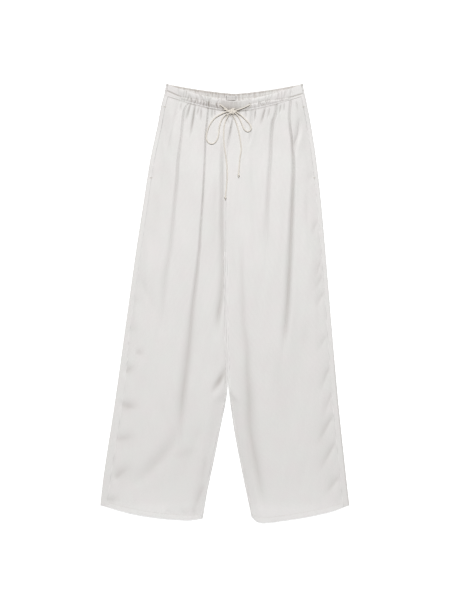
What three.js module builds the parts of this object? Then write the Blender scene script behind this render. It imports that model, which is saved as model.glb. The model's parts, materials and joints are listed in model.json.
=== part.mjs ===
// Straight wide-leg pull-on trousers, laid flat on their back with the front up. Millimetres.
// X runs across from the wearer's right leg (-X) to the left one (+X), Y up from hems to waist, Z up.
// The origin is on the surface that they lie on, under the middle of the whole garment.
import * as THREE from "three";

// Driving dimensions
const CLOTH = 1.2; // wall of every cloth panel
const BAND = 3.0; // wall of the waistband: two layers of cloth round an elastic
const SEAM_GAP = 0.3; // between pieces that are sewn together
const WAIST_X = 23.5; // middle of the waist, which lies a little to one side
const WAIST_HALF = 169.5; // half the flat waist at the seam under the band
const WAIST_TOP_HALF = 164.0; // half the flat waist at the band's top edge
const HEM_TURN = 11; // depth of the turned hem
const HEM_WALL = 1.8; // wall where the hem is turned up inside
const CORD_R = 1.5; // the drawstring's radius
const CORD_BRIDGE = 5; // it lies on the highest cloth within this distance

// Heights over the surface
const BELLY = 7.6; // outside of the front panels where they are fullest
const EDGE = 4.0; // outside of the folded edge of a leg
const CREASE_FLOOR = 2.8; // the lowest that the front's outside may sink to the back panel
const BAG_FLOOR = 4.2; // and where a pocket bag lies between them
const BAND_FRONT = BAND * 2 + 0.6; // outside of the front band, which lies on the back one

// The folded outer edges of both legs, from the waist seam down.
const OUTER = [
  { y: 497, right: -146.5, left: 193.3 },
  { y: 472, right: -153.0, left: 198.6 },
  { y: 424, right: -162.0, left: 207.7 },
  { y: 342, right: -179.4, left: 220.2 },
  { y: 234, right: -196.3, left: 232.2 },
  { y: 126, right: -213.0, left: 241.8 },
  { y: -54, right: -238.2, left: 256.7 },
  { y: -234, right: -263.4, left: 272.3 },
  { y: -414, right: -291.0, left: 291.2 },
  { y: -488, right: -299.5, left: 299.5 },
];
// The centre seam, which below the crotch is the middle of the gap between the legs.
const INNER = [
  { y: 475, middle: 24.6, gap: SEAM_GAP },
  { y: 458, middle: 23.5, gap: SEAM_GAP },
  { y: 436, middle: 17.4, gap: SEAM_GAP },
  { y: 412, middle: 12.1, gap: SEAM_GAP },
  { y: 384, middle: 7.8, gap: SEAM_GAP },
  { y: 330, middle: 4.4, gap: SEAM_GAP },
  { y: 234, middle: 3.0, gap: SEAM_GAP },
  { y: 126, middle: 2.0, gap: SEAM_GAP },
  { y: -42, middle: 3.5, gap: SEAM_GAP },
  { y: -140, middle: 6.0, gap: 0.5 },
  { y: -197, middle: 7.6, gap: 1.4 },
  { y: -233, middle: 7.5, gap: 9.0 },
  { y: -305, middle: 5.4, gap: 33.6 },
  { y: -377, middle: 4.8, gap: 61.0 },
  { y: -449, middle: 4.4, gap: 91.0 },
  { y: -520, middle: 5.6, gap: 118.0 },
];
const WAIST_END_Y = 497; // the waist seam at the sides
const FRONT_DIP = 39; // how far the front waist seam dips at the centre
const BACK_DIP = 22.5; // and the back one
const DIP_POWER = 1.4; // how fast the dip flattens out towards the sides
const HEM_OUT_Y = -486;
const HEM_IN_Y = -518;
const CROTCH_Y = 126;
// The line of each hem: share of the way from the outer edge to the inner one, and where it lies.
const HEM = {
  right: [
    { share: 0, y: -486 },
    { share: 0.14, y: -495 },
    { share: 0.37, y: -508.5 },
    { share: 0.6, y: -516.5 },
    { share: 0.84, y: -521 },
    { share: 1, y: -518 },
  ],
  left: [
    { share: 0, y: -486 },
    { share: 0.16, y: -499 },
    { share: 0.33, y: -508.5 },
    { share: 0.5, y: -516 },
    { share: 0.67, y: -522 },
    { share: 0.87, y: -527.5 },
    { share: 0.95, y: -524 },
    { share: 1, y: -514 },
  ],
};

// Long folds of the front, as troughs: the path of the trough's bottom and its depth and half width.
const FOLDS = {
  right: [
    {
      path: [[-88, 476], [-99, 450], [-104, 402], [-110, 354], [-119, 256], [-138, 110], [-155, -51]],
      depth: 3.6, narrow: 4, wide: 10,
    },
    {
      path: [
        [-40, 460], [-46, 378], [-52, 282], [-72, 52], [-87, -73], [-96, -180], [-124, -270], [-186, -405],
      ],
      depth: 4.2, narrow: 4, wide: 12,
    },
    {
      path: [[-5, 430], [-8, 333], [-8, 213], [-6, 126], [-8, 60], [-16, -40]],
      depth: 3.0, narrow: 3, wide: 6,
    },
  ],
  left: [
    {
      path: [
        [158, 477], [155, 450], [157, 421], [163, 378], [165, 330], [162, 258], [157, 110], [149, -22],
        [142, -94],
      ],
      depth: 4.4, narrow: 4, wide: 11,
    },
    {
      path: [[124, 462], [116, 436], [112, 402], [110, 354], [105, 282], [101, 222], [99, 110]],
      depth: 3.2, narrow: 4, wide: 9,
    },
    {
      path: [[42, 140], [43, 38], [50, -73], [55, -173], [59, -260], [73, -377], [88, -460]],
      depth: 3.6, narrow: 7, wide: 11,
    },
  ],
};
const FOLD_TAPER = 70; // a fold fades out over this length at its ends

// Gathers under the waistband: waves of cloth about this far apart that fade out down the panel.
const GATHER_PITCH = 11.3;
const GATHER_HIGH = 0.9;
const GATHER_FADE = 34;
const BAND_GATHER_HIGH = 0.55;
const SMOOTH_SIDE = 0.8; // share of the half waist that is gathered: the sides are smooth
const SMOOTH_CENTRE = 0.22; // and so is the band between the buttonholes

// The side seam lies on top, this far inside the folded edge.
const SIDE_SEAM = [
  { y: 497, right: 10, left: 10 },
  { y: 330, right: 10, left: 10 },
  { y: 120, right: 12, left: 10 },
  { y: -60, right: 12, left: 11 },
  { y: -180, right: 17, left: 13 },
  { y: -320, right: 18, left: 14 },
  { y: -488, right: 16, left: 14 },
];
const INSEAM_INSET = 5;
const CROTCH_TURN = 34; // the inner edge goes from flat seam to folded edge over this length

const POCKET = { top: 478, mouth: 178, depth: 262, width: 128, slit: 1.2, wall: 1.0 };

const LEGS = {
  right: { sign: 1, outer: (y) => outerRight(y), inner: (y) => middle(y) - gap(y) / 2 },
  left: { sign: -1, outer: (y) => outerLeft(y), inner: (y) => middle(y) + gap(y) / 2 },
};

// Helpers
const lerp = (a, b, t) => a + (b - a) * t;
const clamp01 = (t) => Math.min(1, Math.max(0, t));
const smooth = (from, to, t) => {
  const s = clamp01((t - from) / (to - from));
  return s * s * (3 - 2 * s);
};

// A smooth curve through a table's rows, from one named column to another.
function through(rows, key, value) {
  const r = [...rows].sort((a, b) => a[key] - b[key]);
  const n = r.length;
  const slope = r.map((p, i) => {
    const a = r[Math.max(0, i - 1)];
    const b = r[Math.min(n - 1, i + 1)];
    return (b[value] - a[value]) / (b[key] - a[key]);
  });
  return (k) => {
    if (k <= r[0][key]) return r[0][value] + slope[0] * (k - r[0][key]);
    if (k >= r[n - 1][key]) return r[n - 1][value] + slope[n - 1] * (k - r[n - 1][key]);
    let i = 0;
    while (k > r[i + 1][key]) i++;
    const span = r[i + 1][key] - r[i][key];
    const t = (k - r[i][key]) / span;
    const t2 = t * t;
    const t3 = t2 * t;
    return (
      (2 * t3 - 3 * t2 + 1) * r[i][value] +
      (t3 - 2 * t2 + t) * span * slope[i] +
      (3 * t2 - 2 * t3) * r[i + 1][value] +
      (t3 - t2) * span * slope[i + 1]
    );
  };
}
const outerRight = through(OUTER, "y", "right");
const outerLeft = through(OUTER, "y", "left");
const middle = through(INNER, "y", "middle");
const gap = (y) => Math.max(SEAM_GAP, through(INNER, "y", "gap")(y));
const sideInset = { right: through(SIDE_SEAM, "y", "right"), left: through(SIDE_SEAM, "y", "left") };
const hemLine = { right: through(HEM.right, "share", "y"), left: through(HEM.left, "share", "y") };

// Rows run across a panel. v is 0 at the waist seam and 1 at the hem.
const CROTCH_V = (WAIST_END_Y - FRONT_DIP - CROTCH_Y) / (WAIST_END_Y - FRONT_DIP - HEM_IN_Y);
const GATHER_ROWS = [0, 0.008, 0.018, 0.032, 0.05, 0.075];
const ROW_STEP = 0.042;
const HEM_V = 1 - HEM_TURN / (WAIST_END_Y - HEM_OUT_Y);
const ROWS = [...GATHER_ROWS];
while (ROWS.at(-1) + 1.5 * ROW_STEP < HEM_V) ROWS.push(ROWS.at(-1) + ROW_STEP);
ROWS.push(HEM_V - 0.004, HEM_V, 1);

// How far the waist seam has dipped at x, by a front or back depth.
const waistShare = (x) => (x - WAIST_X) / WAIST_HALF;
const dipped = (x, low) => low * (1 - Math.pow(Math.min(1, Math.abs(waistShare(x))), DIP_POWER));

// The point of a leg's plan at share u across, from its outer edge, on row v.
function plan(side, u, v, back = false) {
  const leg = LEGS[side];
  const low = back ? BACK_DIP : FRONT_DIP;
  const outY = lerp(WAIST_END_Y, HEM_OUT_Y, v);
  const lift = (FRONT_DIP - low) * clamp01(1 - v / CROTCH_V);
  const inY = lerp(WAIST_END_Y - FRONT_DIP, HEM_IN_Y, v) + lift;
  const x = lerp(leg.outer(outY), leg.inner(inY), u);
  const curve = low * u - dipped(lerp(leg.outer(WAIST_END_Y), leg.inner(WAIST_END_Y - low), u), low);
  const hem = hemLine[side](u) - lerp(HEM_OUT_Y, HEM_IN_Y, u);
  return { x, y: lerp(outY, inY, u) + curve * Math.pow(1 - v, 3) + hem * v * v * v };
}
function rowWidth(side, v, back) {
  return Math.abs(plan(side, 1, v, back).x - plan(side, 0, v, back).x);
}

// How much of the waist is gathered at x: 1 inside, 0 at the smooth sides.
const gathered = (x) => smooth(SMOOTH_SIDE + 0.1, SMOOTH_SIDE - 0.06, Math.abs(waistShare(x)));
// The gathers are uneven: some are wider and some are higher than others.
const gatherPhase = (x) => x / GATHER_PITCH + 0.28 * Math.sin(x / 31) + 0.16 * Math.sin(x / 13 + 1);
const gatherWave = (x) => Math.cos(2 * Math.PI * gatherPhase(x)) * (0.72 + 0.28 * Math.sin(x / 19 + 2));

const foldX = new Map();
for (const fold of [...FOLDS.right, ...FOLDS.left]) {
  foldX.set(fold, through(fold.path.map(([x, y]) => ({ x, y })), "y", "x"));
}

// How deep the long folds are at a point.
function troughs(side, x, y) {
  let deep = 0;
  for (const fold of FOLDS[side]) {
    const top = fold.path[0][1];
    const end = fold.path.at(-1)[1];
    const fade = smooth(top + 12, top - 30, y) * smooth(end - FOLD_TAPER / 2, end + FOLD_TAPER, y);
    const half = lerp(fold.narrow, fold.wide, clamp01((top - y) / 220));
    const q = (x - foldX.get(fold)(Math.min(top, Math.max(end, y)))) / half;
    deep = Math.max(deep, fold.depth * fade * Math.pow(1 + q * q, -1.4));
  }
  return deep;
}

// 1 where a pocket bag lies under the front, falling to 0 around it.
function overBag(side, x, y) {
  const far = Math.abs(x - LEGS[side].outer(y));
  const bottom = POCKET.top - POCKET.depth;
  return smooth(POCKET.width + 22, POCKET.width + 4, far) * smooth(bottom - 24, bottom - 4, y);
}

// From the band down the cloth swells to its full height, and thins out to the folded edges.
const SWELL = 48;
const belly = (fromBand) => lerp(BAND_FRONT, BELLY, smooth(0, SWELL, fromBand));
const edgeHigh = (v) => lerp(BAND_FRONT, EDGE, smooth(0, 0.09, v));
// Where the legs lie against each other they stand as high as the front does.
const isApart = (y) => smooth(0.8, 12, gap(y));
const innerHigh = (y) => lerp(BELLY - 0.8, EDGE, isApart(y));
const isLeg = (v) => smooth(CROTCH_V - 0.005, CROTCH_V + 0.05, v);

// Height of the front's outside, d from the outer edge on row v.
function frontHigh(side, d, v) {
  const wide = rowWidth(side, v);
  const { x, y } = plan(side, d / wide, v);
  const fromOut = smooth(2, 46, d);
  const atInner = isLeg(v) * (1 - smooth(2, lerp(14, 38, isApart(y)), wide - d));
  const seam = WAIST_END_Y - dipped(x, FRONT_DIP);
  const full = lerp(lerp(edgeHigh(v), belly(seam - y), fromOut), innerHigh(y), atInner);
  const fade = Math.exp(-Math.max(0, seam - y) / GATHER_FADE);
  const waves = GATHER_HIGH * gatherWave(x) * gathered(x) * fade * smooth(0, 12, wide - d);
  const offEdges = smooth(4, 20, d) * lerp(1, smooth(1, 14, wide - d), isLeg(v));
  const sunk = full - troughs(side, x, y) * offEdges;
  const lowest = lerp(CREASE_FLOOR, BAG_FLOOR, overBag(side, x, y));
  return Math.max(sunk + waves, Math.min(lowest, full));
}
const wallAt = (v) => lerp(CLOTH, HEM_WALL, smooth(HEM_V - 0.002, HEM_V, v));

// Where the columns of a front panel lie on a row: at the crests and troughs of the gathers near
// the waist, and further down on both sides of the long folds, so that few columns show them.
const LEG_COLUMNS = 20;
const FOLD_COLUMN = { right: [6, 11, 17], left: [6, 11, 16] };
const FLANK = [9, 9, 5];
function foldShare(side, fold, v) {
  const wide = rowWidth(side, v);
  const top = fold.path[0][1];
  const end = fold.path.at(-1)[1];
  let u = 0.5;
  for (let i = 0; i < 6; i++) {
    const y = plan(side, u, v).y;
    const held = Math.min(top, Math.max(end, y));
    const x = foldX.get(fold)(held);
    const outer = LEGS[side].outer(held);
    // past its ends a fold's column keeps its share of the width
    const share = (x - outer) / (LEGS[side].inner(held) - outer);
    u = held === y ? Math.abs(x - plan(side, 0, v).x) / wide : share;
  }
  return u;
}
function legColumns(side, v, from, to) {
  const wide = rowWidth(side, v);
  const knots = [[0, from]];
  FOLDS[side].forEach((fold, i) => {
    const at = foldShare(side, fold, v) * wide;
    const j = FOLD_COLUMN[side][i];
    knots.push([j - 1, at - FLANK[i]], [j, at], [j + 1, Math.min(at + FLANK[i], to - 2)]);
  });
  knots.push([LEG_COLUMNS, to]);
  return Array.from({ length: LEG_COLUMNS + 1 }, (_, j) => {
    const k = knots.findIndex(([index]) => index >= j);
    if (k === 0) return from;
    const [j0, d0] = knots[k - 1];
    const [j1, d1] = knots[k];
    return lerp(d0, d1, (j - j0) / (j1 - j0));
  });
}
function gatherColumns(side, v, from, to) {
  const wide = rowWidth(side, 0);
  const base = plan(side, 0, 0).x;
  const places = [];
  const steps = 4000;
  let last = null;
  for (let i = 0; i <= steps; i++) {
    const share = i / steps;
    const x = base + LEGS[side].sign * share * wide;
    const half = Math.floor(gatherPhase(x) * 2);
    if (last !== null && half !== last && share * wide > 6 && (1 - share) * wide > 3) {
      places.push(share);
    }
    last = half;
  }
  return [0, ...places, 1].map((share) => lerp(from, to, share));
}

// Builds one closed solid from rows of points, outside and inside. Rows may differ in length, and
// the faces between two rows are then shared out by how far along its row each point is.
function solidFromRows(rows) {
  const position = [];
  const index = [];
  const base = [];
  for (const row of rows) {
    base.push(position.length / 3);
    for (const p of row.outside) position.push(p.x, p.y, p.z);
    for (const p of row.inside) position.push(p.x, p.y, p.z);
  }
  const count = (i) => rows[i].outside.length;
  const out = (i, j) => base[i] + j;
  const ins = (i, j) => base[i] + count(i) + j;
  const face = (a, b, c) => index.push(a, b, c);
  for (let i = 0; i + 1 < rows.length; i++) {
    let a = 0;
    let b = 0;
    const na = count(i) - 1;
    const nb = count(i + 1) - 1;
    while (a < na || b < nb) {
      if (b === nb || (a < na && (a + 0.5) / na <= (b + 0.5) / nb + 1e-9)) {
        face(out(i, a), out(i + 1, b), out(i, a + 1));
        face(ins(i, a), ins(i, a + 1), ins(i + 1, b));
        a++;
      } else {
        face(out(i, a), out(i + 1, b), out(i + 1, b + 1));
        face(ins(i, a), ins(i + 1, b + 1), ins(i + 1, b));
        b++;
      }
    }
    for (const [p, q, turn] of [[0, 0, true], [na, nb, false]]) {
      const quad = [out(i, p), ins(i, p), ins(i + 1, q), out(i + 1, q)];
      if (turn) quad.reverse();
      face(quad[0], quad[2], quad[1]);
      face(quad[0], quad[3], quad[2]);
    }
  }
  for (const [i, turn] of [[0, false], [rows.length - 1, true]]) {
    for (let j = 0; j < count(i) - 1; j++) {
      const quad = [out(i, j), out(i, j + 1), ins(i, j + 1), ins(i, j)];
      if (turn) quad.reverse();
      face(quad[0], quad[1], quad[2]);
      face(quad[0], quad[2], quad[3]);
    }
  }
  const geometry = new THREE.BufferGeometry();
  geometry.setAttribute("position", new THREE.Float32BufferAttribute(position, 3));
  geometry.setIndex(index);
  return facingOut(geometry);
}

// Turns every face round if the solid came out inside out, as a mirrored row order makes it.
function facingOut(geometry) {
  const p = geometry.attributes.position.array;
  const f = Array.from(geometry.index.array);
  let volume = 0;
  for (let i = 0; i < f.length; i += 3) {
    const [a, b, c] = [f[i] * 3, f[i + 1] * 3, f[i + 2] * 3];
    volume +=
      p[a] * (p[b + 1] * p[c + 2] - p[b + 2] * p[c + 1]) -
      p[a + 1] * (p[b] * p[c + 2] - p[b + 2] * p[c]) +
      p[a + 2] * (p[b] * p[c + 1] - p[b + 1] * p[c]);
  }
  if (volume < 0) for (let i = 0; i < f.length; i += 3) [f[i + 1], f[i + 2]] = [f[i + 2], f[i + 1]];
  geometry.setIndex(f);
  return geometry;
}

// Moves a section's middle line, [distance, height] pairs, out by half the wall on both sides.
function bothFaces(line, wall) {
  const outside = [];
  const inside = [];
  line.forEach(([d, z], i) => {
    const a = line[Math.max(0, i - 1)];
    const b = line[Math.min(line.length - 1, i + 1)];
    const long = Math.hypot(b[0] - a[0], b[1] - a[1]);
    const nd = ((b[1] - a[1]) / long) * (wall / 2);
    const nz = (-(b[0] - a[0]) / long) * (wall / 2);
    outside.push([d + nd, z + nz]);
    inside.push([d - nd, z - nz]);
  });
  return { outside, inside };
}

function frontPanel(side) {
  const rows = ROWS.map((v, i) => {
    const wide = rowWidth(side, v);
    const y = plan(side, 0, v).y;
    const slit = y < POCKET.top && y > POCKET.top - POCKET.mouth ? POCKET.slit : SEAM_GAP;
    const from = sideInset[side](y) + slit;
    const to = wide - lerp(0, INSEAM_INSET + SEAM_GAP, isFolded(v));
    const columns = i < GATHER_ROWS.length ? gatherColumns(side, v, from, to) : legColumns(side, v, from, to);
    const wall = wallAt(v);
    const place = (d, z) => ({ ...plan(side, d / wide, v), z });
    const outside = [];
    const inside = [];
    for (const d of columns) {
      const z = frontHigh(side, d, v);
      const rise = (frontHigh(side, d + 0.5, v) - frontHigh(side, d - 0.5, v)) * 0.6;
      const long = Math.hypot(1, rise);
      outside.push(place(d, z));
      inside.push(place(d + (wall * rise) / long, z - wall / long));
    }
    for (const j of [0, inside.length - 1]) inside[j] = { ...outside[j], z: inside[j].z };
    return { outside, inside };
  });
  rows[0] = seamEdge(rows[0]);
  return solidFromRows(rows);
}
// The panel stops short of the band by the gap of a seam.
function seamEdge(row) {
  const down = (p) => ({ ...p, y: p.y - SEAM_GAP });
  return { outside: row.outside.map(down), inside: row.inside.map(down) };
}

// 0 above the crotch, where the inner edge lies flat at the centre seam, and 1 where it is folded.
const legLong = WAIST_END_Y - FRONT_DIP - HEM_IN_Y;
const isFolded = (v) => smooth(CROTCH_V, CROTCH_V + CROTCH_TURN / legLong, v);

function backPanel(side) {
  const rows = ROWS.map((v) => {
    const wide = rowWidth(side, v, true);
    const y = plan(side, 0, v).y;
    const wall = wallAt(v);
    const half = wall / 2;
    const folded = isFolded(v);
    const outHigh = edgeHigh(v);
    const outR = (outHigh - wall) / 2;
    const inR = (innerHigh(plan(side, 1, v, true).y) - wall) / 2;
    const line = [];
    const seam = sideInset[side](y);
    for (const t of [0, 0.5]) {
      const d = lerp(seam, half + outR, t);
      line.push([d, frontHigh(side, d, v) - half]);
    }
    for (let k = 0; k <= 4; k++) {
      const turn = Math.PI * (k / 4);
      line.push([half + outR - outR * Math.sin(turn), half + outR + outR * Math.cos(turn)]);
    }
    for (const t of [0.3, 0.6, 0.85]) line.push([wide * t, half]);
    const flat = [];
    const curled = [];
    for (let k = 0; k <= 4; k++) {
      const turn = Math.PI * (k / 4);
      curled.push([wide - half - inR + inR * Math.sin(turn), half + inR - inR * Math.cos(turn)]);
      flat.push([lerp(wide - 16, wide - 0.6, k / 4), half]);
    }
    const seamIn = wide - INSEAM_INSET;
    curled.push([seamIn, frontHigh(side, seamIn, v) - half]);
    flat.push([wide, half]);
    flat.forEach((p, k) => line.push([lerp(p[0], curled[k][0], folded), lerp(p[1], curled[k][1], folded)]));
    const { outside, inside } = bothFaces(line, wall);
    const place = ([d, z]) => ({ ...plan(side, d / wide, v, true), z });
    return { outside: outside.map(place), inside: inside.map(place) };
  });
  rows[0] = seamEdge(rows[0]);
  return solidFromRows(rows);
}

// Waistband. s runs from -1 at the wearer's right side to 1 at the left, w from 0 at the seam to 1.
const bandHalf = (w) => lerp(WAIST_HALF, WAIST_TOP_HALF, w);
const BAND_TALL = { frontCentre: 25.3, frontSide: 27.5, backCentre: 28, backSide: 29 };
function bandPlan(s, w, back) {
  const low = back ? BACK_DIP : FRONT_DIP;
  const centre = back ? BAND_TALL.backCentre : BAND_TALL.frontCentre;
  const end = back ? BAND_TALL.backSide : BAND_TALL.frontSide;
  const bend = Math.pow(Math.abs(s), DIP_POWER);
  return { x: WAIST_X + s * bandHalf(w), y: WAIST_END_Y - low * (1 - bend) + w * lerp(centre, end, bend) };
}
const BAND_ROWS = [0, 0.28, 0.72, 1];
const BAND_SEAM = 10; // the band's side seam lies on top, this far from its folded end

function bandColumns(from, to, perWave) {
  const places = [from];
  const steps = 8000;
  let last = null;
  for (let i = 0; i <= steps; i++) {
    const d = lerp(from, to, i / steps);
    const step = Math.floor(gatherPhase(WAIST_X - WAIST_HALF + d) * perWave);
    if (last !== null && step !== last && d - from > 4 && to - d > 4) places.push(d);
    last = step;
  }
  return [...places, to];
}
const bandSmooth = (x) => smooth(SMOOTH_CENTRE - 0.04, SMOOTH_CENTRE + 0.05, Math.abs(waistShare(x)));

function frontBand() {
  const wide = 2 * WAIST_HALF;
  const columns = bandColumns(BAND_SEAM + SEAM_GAP, wide - BAND_SEAM - SEAM_GAP, 2);
  const rows = BAND_ROWS.map((w) => {
    const outside = [];
    const inside = [];
    for (const d of columns) {
      const s = (d - WAIST_HALF) / WAIST_HALF;
      const p = bandPlan(s, w, false);
      const x = WAIST_X + s * WAIST_HALF;
      const waves = BAND_GATHER_HIGH * gatherWave(x) * gathered(x) * bandSmooth(x);
      outside.push({ ...p, z: BAND_FRONT + 0.5 * 4 * w * (1 - w) + waves });
      inside.push({ ...p, z: BAND_FRONT - BAND });
    }
    return { outside, inside };
  });
  return solidFromRows(rows);
}

function backBand() {
  const wide = 2 * WAIST_HALF;
  const half = BAND / 2;
  const turnR = (BAND_FRONT - BAND) / 2;
  const rows = BAND_ROWS.map((w) => {
    const line = [];
    const end = [];
    for (const t of [0, 0.5]) end.push([lerp(BAND_SEAM, half + turnR, t), BAND_FRONT - half]);
    for (let k = 0; k <= 4; k++) {
      const turn = Math.PI * (k / 4);
      end.push([half + turnR - turnR * Math.sin(turn), half + turnR + turnR * Math.cos(turn)]);
    }
    const from = half + turnR;
    const bottom = bandColumns(from, wide - from, 2).slice(1, -1).map((d) => [d, half]);
    line.push(...end, ...bottom, ...end.map(([d, z]) => [wide - d, z]).reverse());
    const { outside, inside } = bothFaces(line, BAND);
    const place = ([d, z]) => ({ ...bandPlan((d - WAIST_HALF) / WAIST_HALF, w, true), z });
    const shape = inside.map(([d, z], i) => {
      const isBottom = i >= end.length && i < line.length - end.length;
      const x = WAIST_X - WAIST_HALF + d;
      return place([d, isBottom ? z - 0.15 + 0.3 * gatherWave(x) * gathered(x) : z]);
    });
    return { outside: outside.map(place), inside: shape };
  });
  return solidFromRows(rows);
}

// A pocket bag: a flat wall with rounded lower corner, held at the side seam inside the leg.
function pocketBag(side) {
  const bottom = POCKET.top - POCKET.depth;
  const steps = 10;
  const rows = [];
  for (let i = 0; i <= steps; i++) {
    const y = lerp(POCKET.top, bottom, i / steps);
    const edge = LEGS[side].outer(y);
    const round = Math.max(0, (i / steps - 0.62) / 0.38);
    const widening = lerp(0.82, 1, smooth(0, 0.4, i / steps));
    const reach = POCKET.width * widening * Math.sqrt(1 - 0.86 * round * round);
    const near = 5.5 + 34 * Math.pow(round, 3);
    const at = (d, z) => ({ x: edge + LEGS[side].sign * d, y: y - 0.05 * d, z });
    const places = [0, 0.33, 0.66, 1].map((t) => lerp(near, reach, t));
    const low = CLOTH + SEAM_GAP;
    rows.push({
      outside: places.map((d) => at(d, low + POCKET.wall)),
      inside: places.map((d) => at(d, low)),
    });
  }
  return solidFromRows(rows);
}

// A worked buttonhole: a long ring of thread round the slit that the drawstring comes out of.
const BUTTONHOLE = { long: 13, wide: 5.4, slit: 2.6, wall: 0.8 };
function stadium(shape, long, wide) {
  const r = wide / 2;
  const straight = (long - wide) / 2;
  shape.absarc(0, straight, r, 0, Math.PI, false);
  shape.absarc(0, -straight, r, Math.PI, 2 * Math.PI, false);
  shape.closePath();
  return shape;
}
function buttonhole() {
  const shape = stadium(new THREE.Shape(), BUTTONHOLE.long, BUTTONHOLE.wide);
  const hole = new THREE.Path();
  stadium(hole, BUTTONHOLE.long - (BUTTONHOLE.wide - BUTTONHOLE.slit), BUTTONHOLE.slit);
  shape.holes.push(hole);
  return new THREE.ExtrudeGeometry(shape, { depth: BUTTONHOLE.wall, bevelEnabled: false, curveSegments: 5 });
}

// The drawstring. Each route is where it lies, chosen by eye from how it is tied: x, y and how far
// it is lifted off the cloth there.
const ROUTES = {
  drawstring_right_lead: [[-11.6, 475.0, 1.2], [-8, 472.4, 2], [-1, 467.6, 2.6], [6.2, 463.0, 2.8]],
  drawstring_left_lead: [[59.9, 474.8, 1.2], [56, 472.6, 2], [44, 467.0, 2.2], [29.0, 461.6, 2.8]],
  drawstring_right_loop: [
    [5.6, 458.4, 3], [-6, 453.6, 1.4], [-23.6, 442.9, 0.4], [-35.6, 427.1, 0], [-42, 411, 0],
    [-44.5, 396.5, 0], [-40.2, 385.4, 0], [-31, 381, 0], [-21.9, 386, 0], [-15.4, 399.2, 0],
    [-13, 420, 0], [-7.6, 438.5, 0.4], [1.0, 450.0, 1.4], [6.0, 453.6, 2.2],
  ],
  drawstring_left_loop: [
    [28.6, 457.4, 3], [40, 448.4, 1.4], [51, 438, 0.4], [59.9, 427.6, 0], [63.4, 420.0, 0],
    [60.8, 413.0, 0], [53.9, 410.6, 0], [46.4, 416.4, 0], [40.4, 430.4, 0], [34.4, 443.4, 0.4],
    [28.0, 451.4, 1.6],
  ],
  drawstring_right_tail: [
    [9.0, 449.4, 1.6], [4.2, 441.6, 0.6], [-0.6, 428, 0], [-2.4, 411, 0], [-1.6, 381, 0], [2.0, 355, 0],
    [4.9, 331.6, 0], [6.1, 305.6, 0], [4.4, 281.6, 0], [1.6, 255.4, 0.9],
  ],
  drawstring_left_tail: [
    [20.4, 448.8, 1.6], [24.4, 439.6, 0.6], [29.4, 426, 0], [34.4, 406, 0], [38.2, 383.2, 0],
    [39.4, 367, 0], [36.4, 347, 0], [34.2, 321.5, 0], [33.3, 309.0, 0.9],
  ],
};
// The height of whatever cloth is on top at a point, and the highest within a cord's width.
function clothHigh(x, y) {
  const side = x < middle(y) ? "right" : "left";
  const seam = WAIST_END_Y - dipped(x, FRONT_DIP);
  if (y > seam) return BAND_FRONT + 0.5;
  const fade = Math.exp(-Math.max(0, seam - y) / GATHER_FADE);
  const sunk = belly(seam - y) - troughs(side, x, y) + GATHER_HIGH * gatherWave(x) * gathered(x) * fade;
  return Math.max(sunk, CREASE_FLOOR);
}
function under(x, y, reach) {
  let high = 0;
  for (const dx of [-1, -0.5, 0, 0.5, 1]) {
    for (const dy of [-1, 0, 1]) high = Math.max(high, clothHigh(x + dx * reach, y + dy * reach));
  }
  return high;
}
// A cord lies a little over the cloth, and bridges its troughs as far as it is stiff.
function routePoints(route) {
  const flat = new THREE.CatmullRomCurve3(route.map((p) => new THREE.Vector3(...p)), false, "centripetal");
  const steps = Math.ceil(flat.getLength() / 6);
  return flat.getSpacedPoints(steps).map((p) => [
    p.x,
    p.y,
    under(p.x, p.y, CORD_BRIDGE) + CORD_R + SEAM_GAP + 0.1 + Math.max(0, p.z),
  ]);
}
const KNOT = { x: 17.2, y: 457.6, wide: 20, tall: 13, high: 7.4 };
const END_KNOT = { wide: 4.6, long: 6.4 };
const CORD_SIDES = 8;

function cordTube(points) {
  const line = new THREE.CatmullRomCurve3(points.map((p) => new THREE.Vector3(...p)), false, "centripetal");
  const long = line.getLength();
  const section = new THREE.Shape(
    Array.from({ length: CORD_SIDES }, (_, k) => {
      const turn = (2 * Math.PI * (k + 0.5)) / CORD_SIDES;
      return new THREE.Vector2(CORD_R * Math.cos(turn), CORD_R * Math.sin(turn));
    }),
  );
  const steps = Math.max(4, Math.round(long / (CORD_R * 2 * 2.2)));
  return new THREE.ExtrudeGeometry(section, { steps, extrudePath: line, bevelEnabled: false });
}
function roundKnot(wide, tall, high) {
  return new THREE.SphereGeometry(0.5, 14, 9).scale(wide, tall, high);
}

// A blank woven label on the inside of the back band.
const LABEL = { x: 16, y: 492.2, wide: 27, tall: 12, wall: 1.0 };

const satin = new THREE.MeshStandardMaterial({ color: 0xe3e0dc, roughness: 0.42, metalness: 0 });
const bandSatin = new THREE.MeshStandardMaterial({ color: 0xdedad6, roughness: 0.5, metalness: 0 });
const cordCloth = new THREE.MeshStandardMaterial({ color: 0xe6dcd2, roughness: 0.6, metalness: 0 });
const thread = new THREE.MeshStandardMaterial({ color: 0xe0d9d0, roughness: 0.7, metalness: 0 });
const bagCloth = new THREE.MeshStandardMaterial({ color: 0xe8e5e0, roughness: 0.7, metalness: 0 });
const labelCloth = new THREE.MeshStandardMaterial({ color: 0xf0eeea, roughness: 0.8, metalness: 0 });

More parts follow.
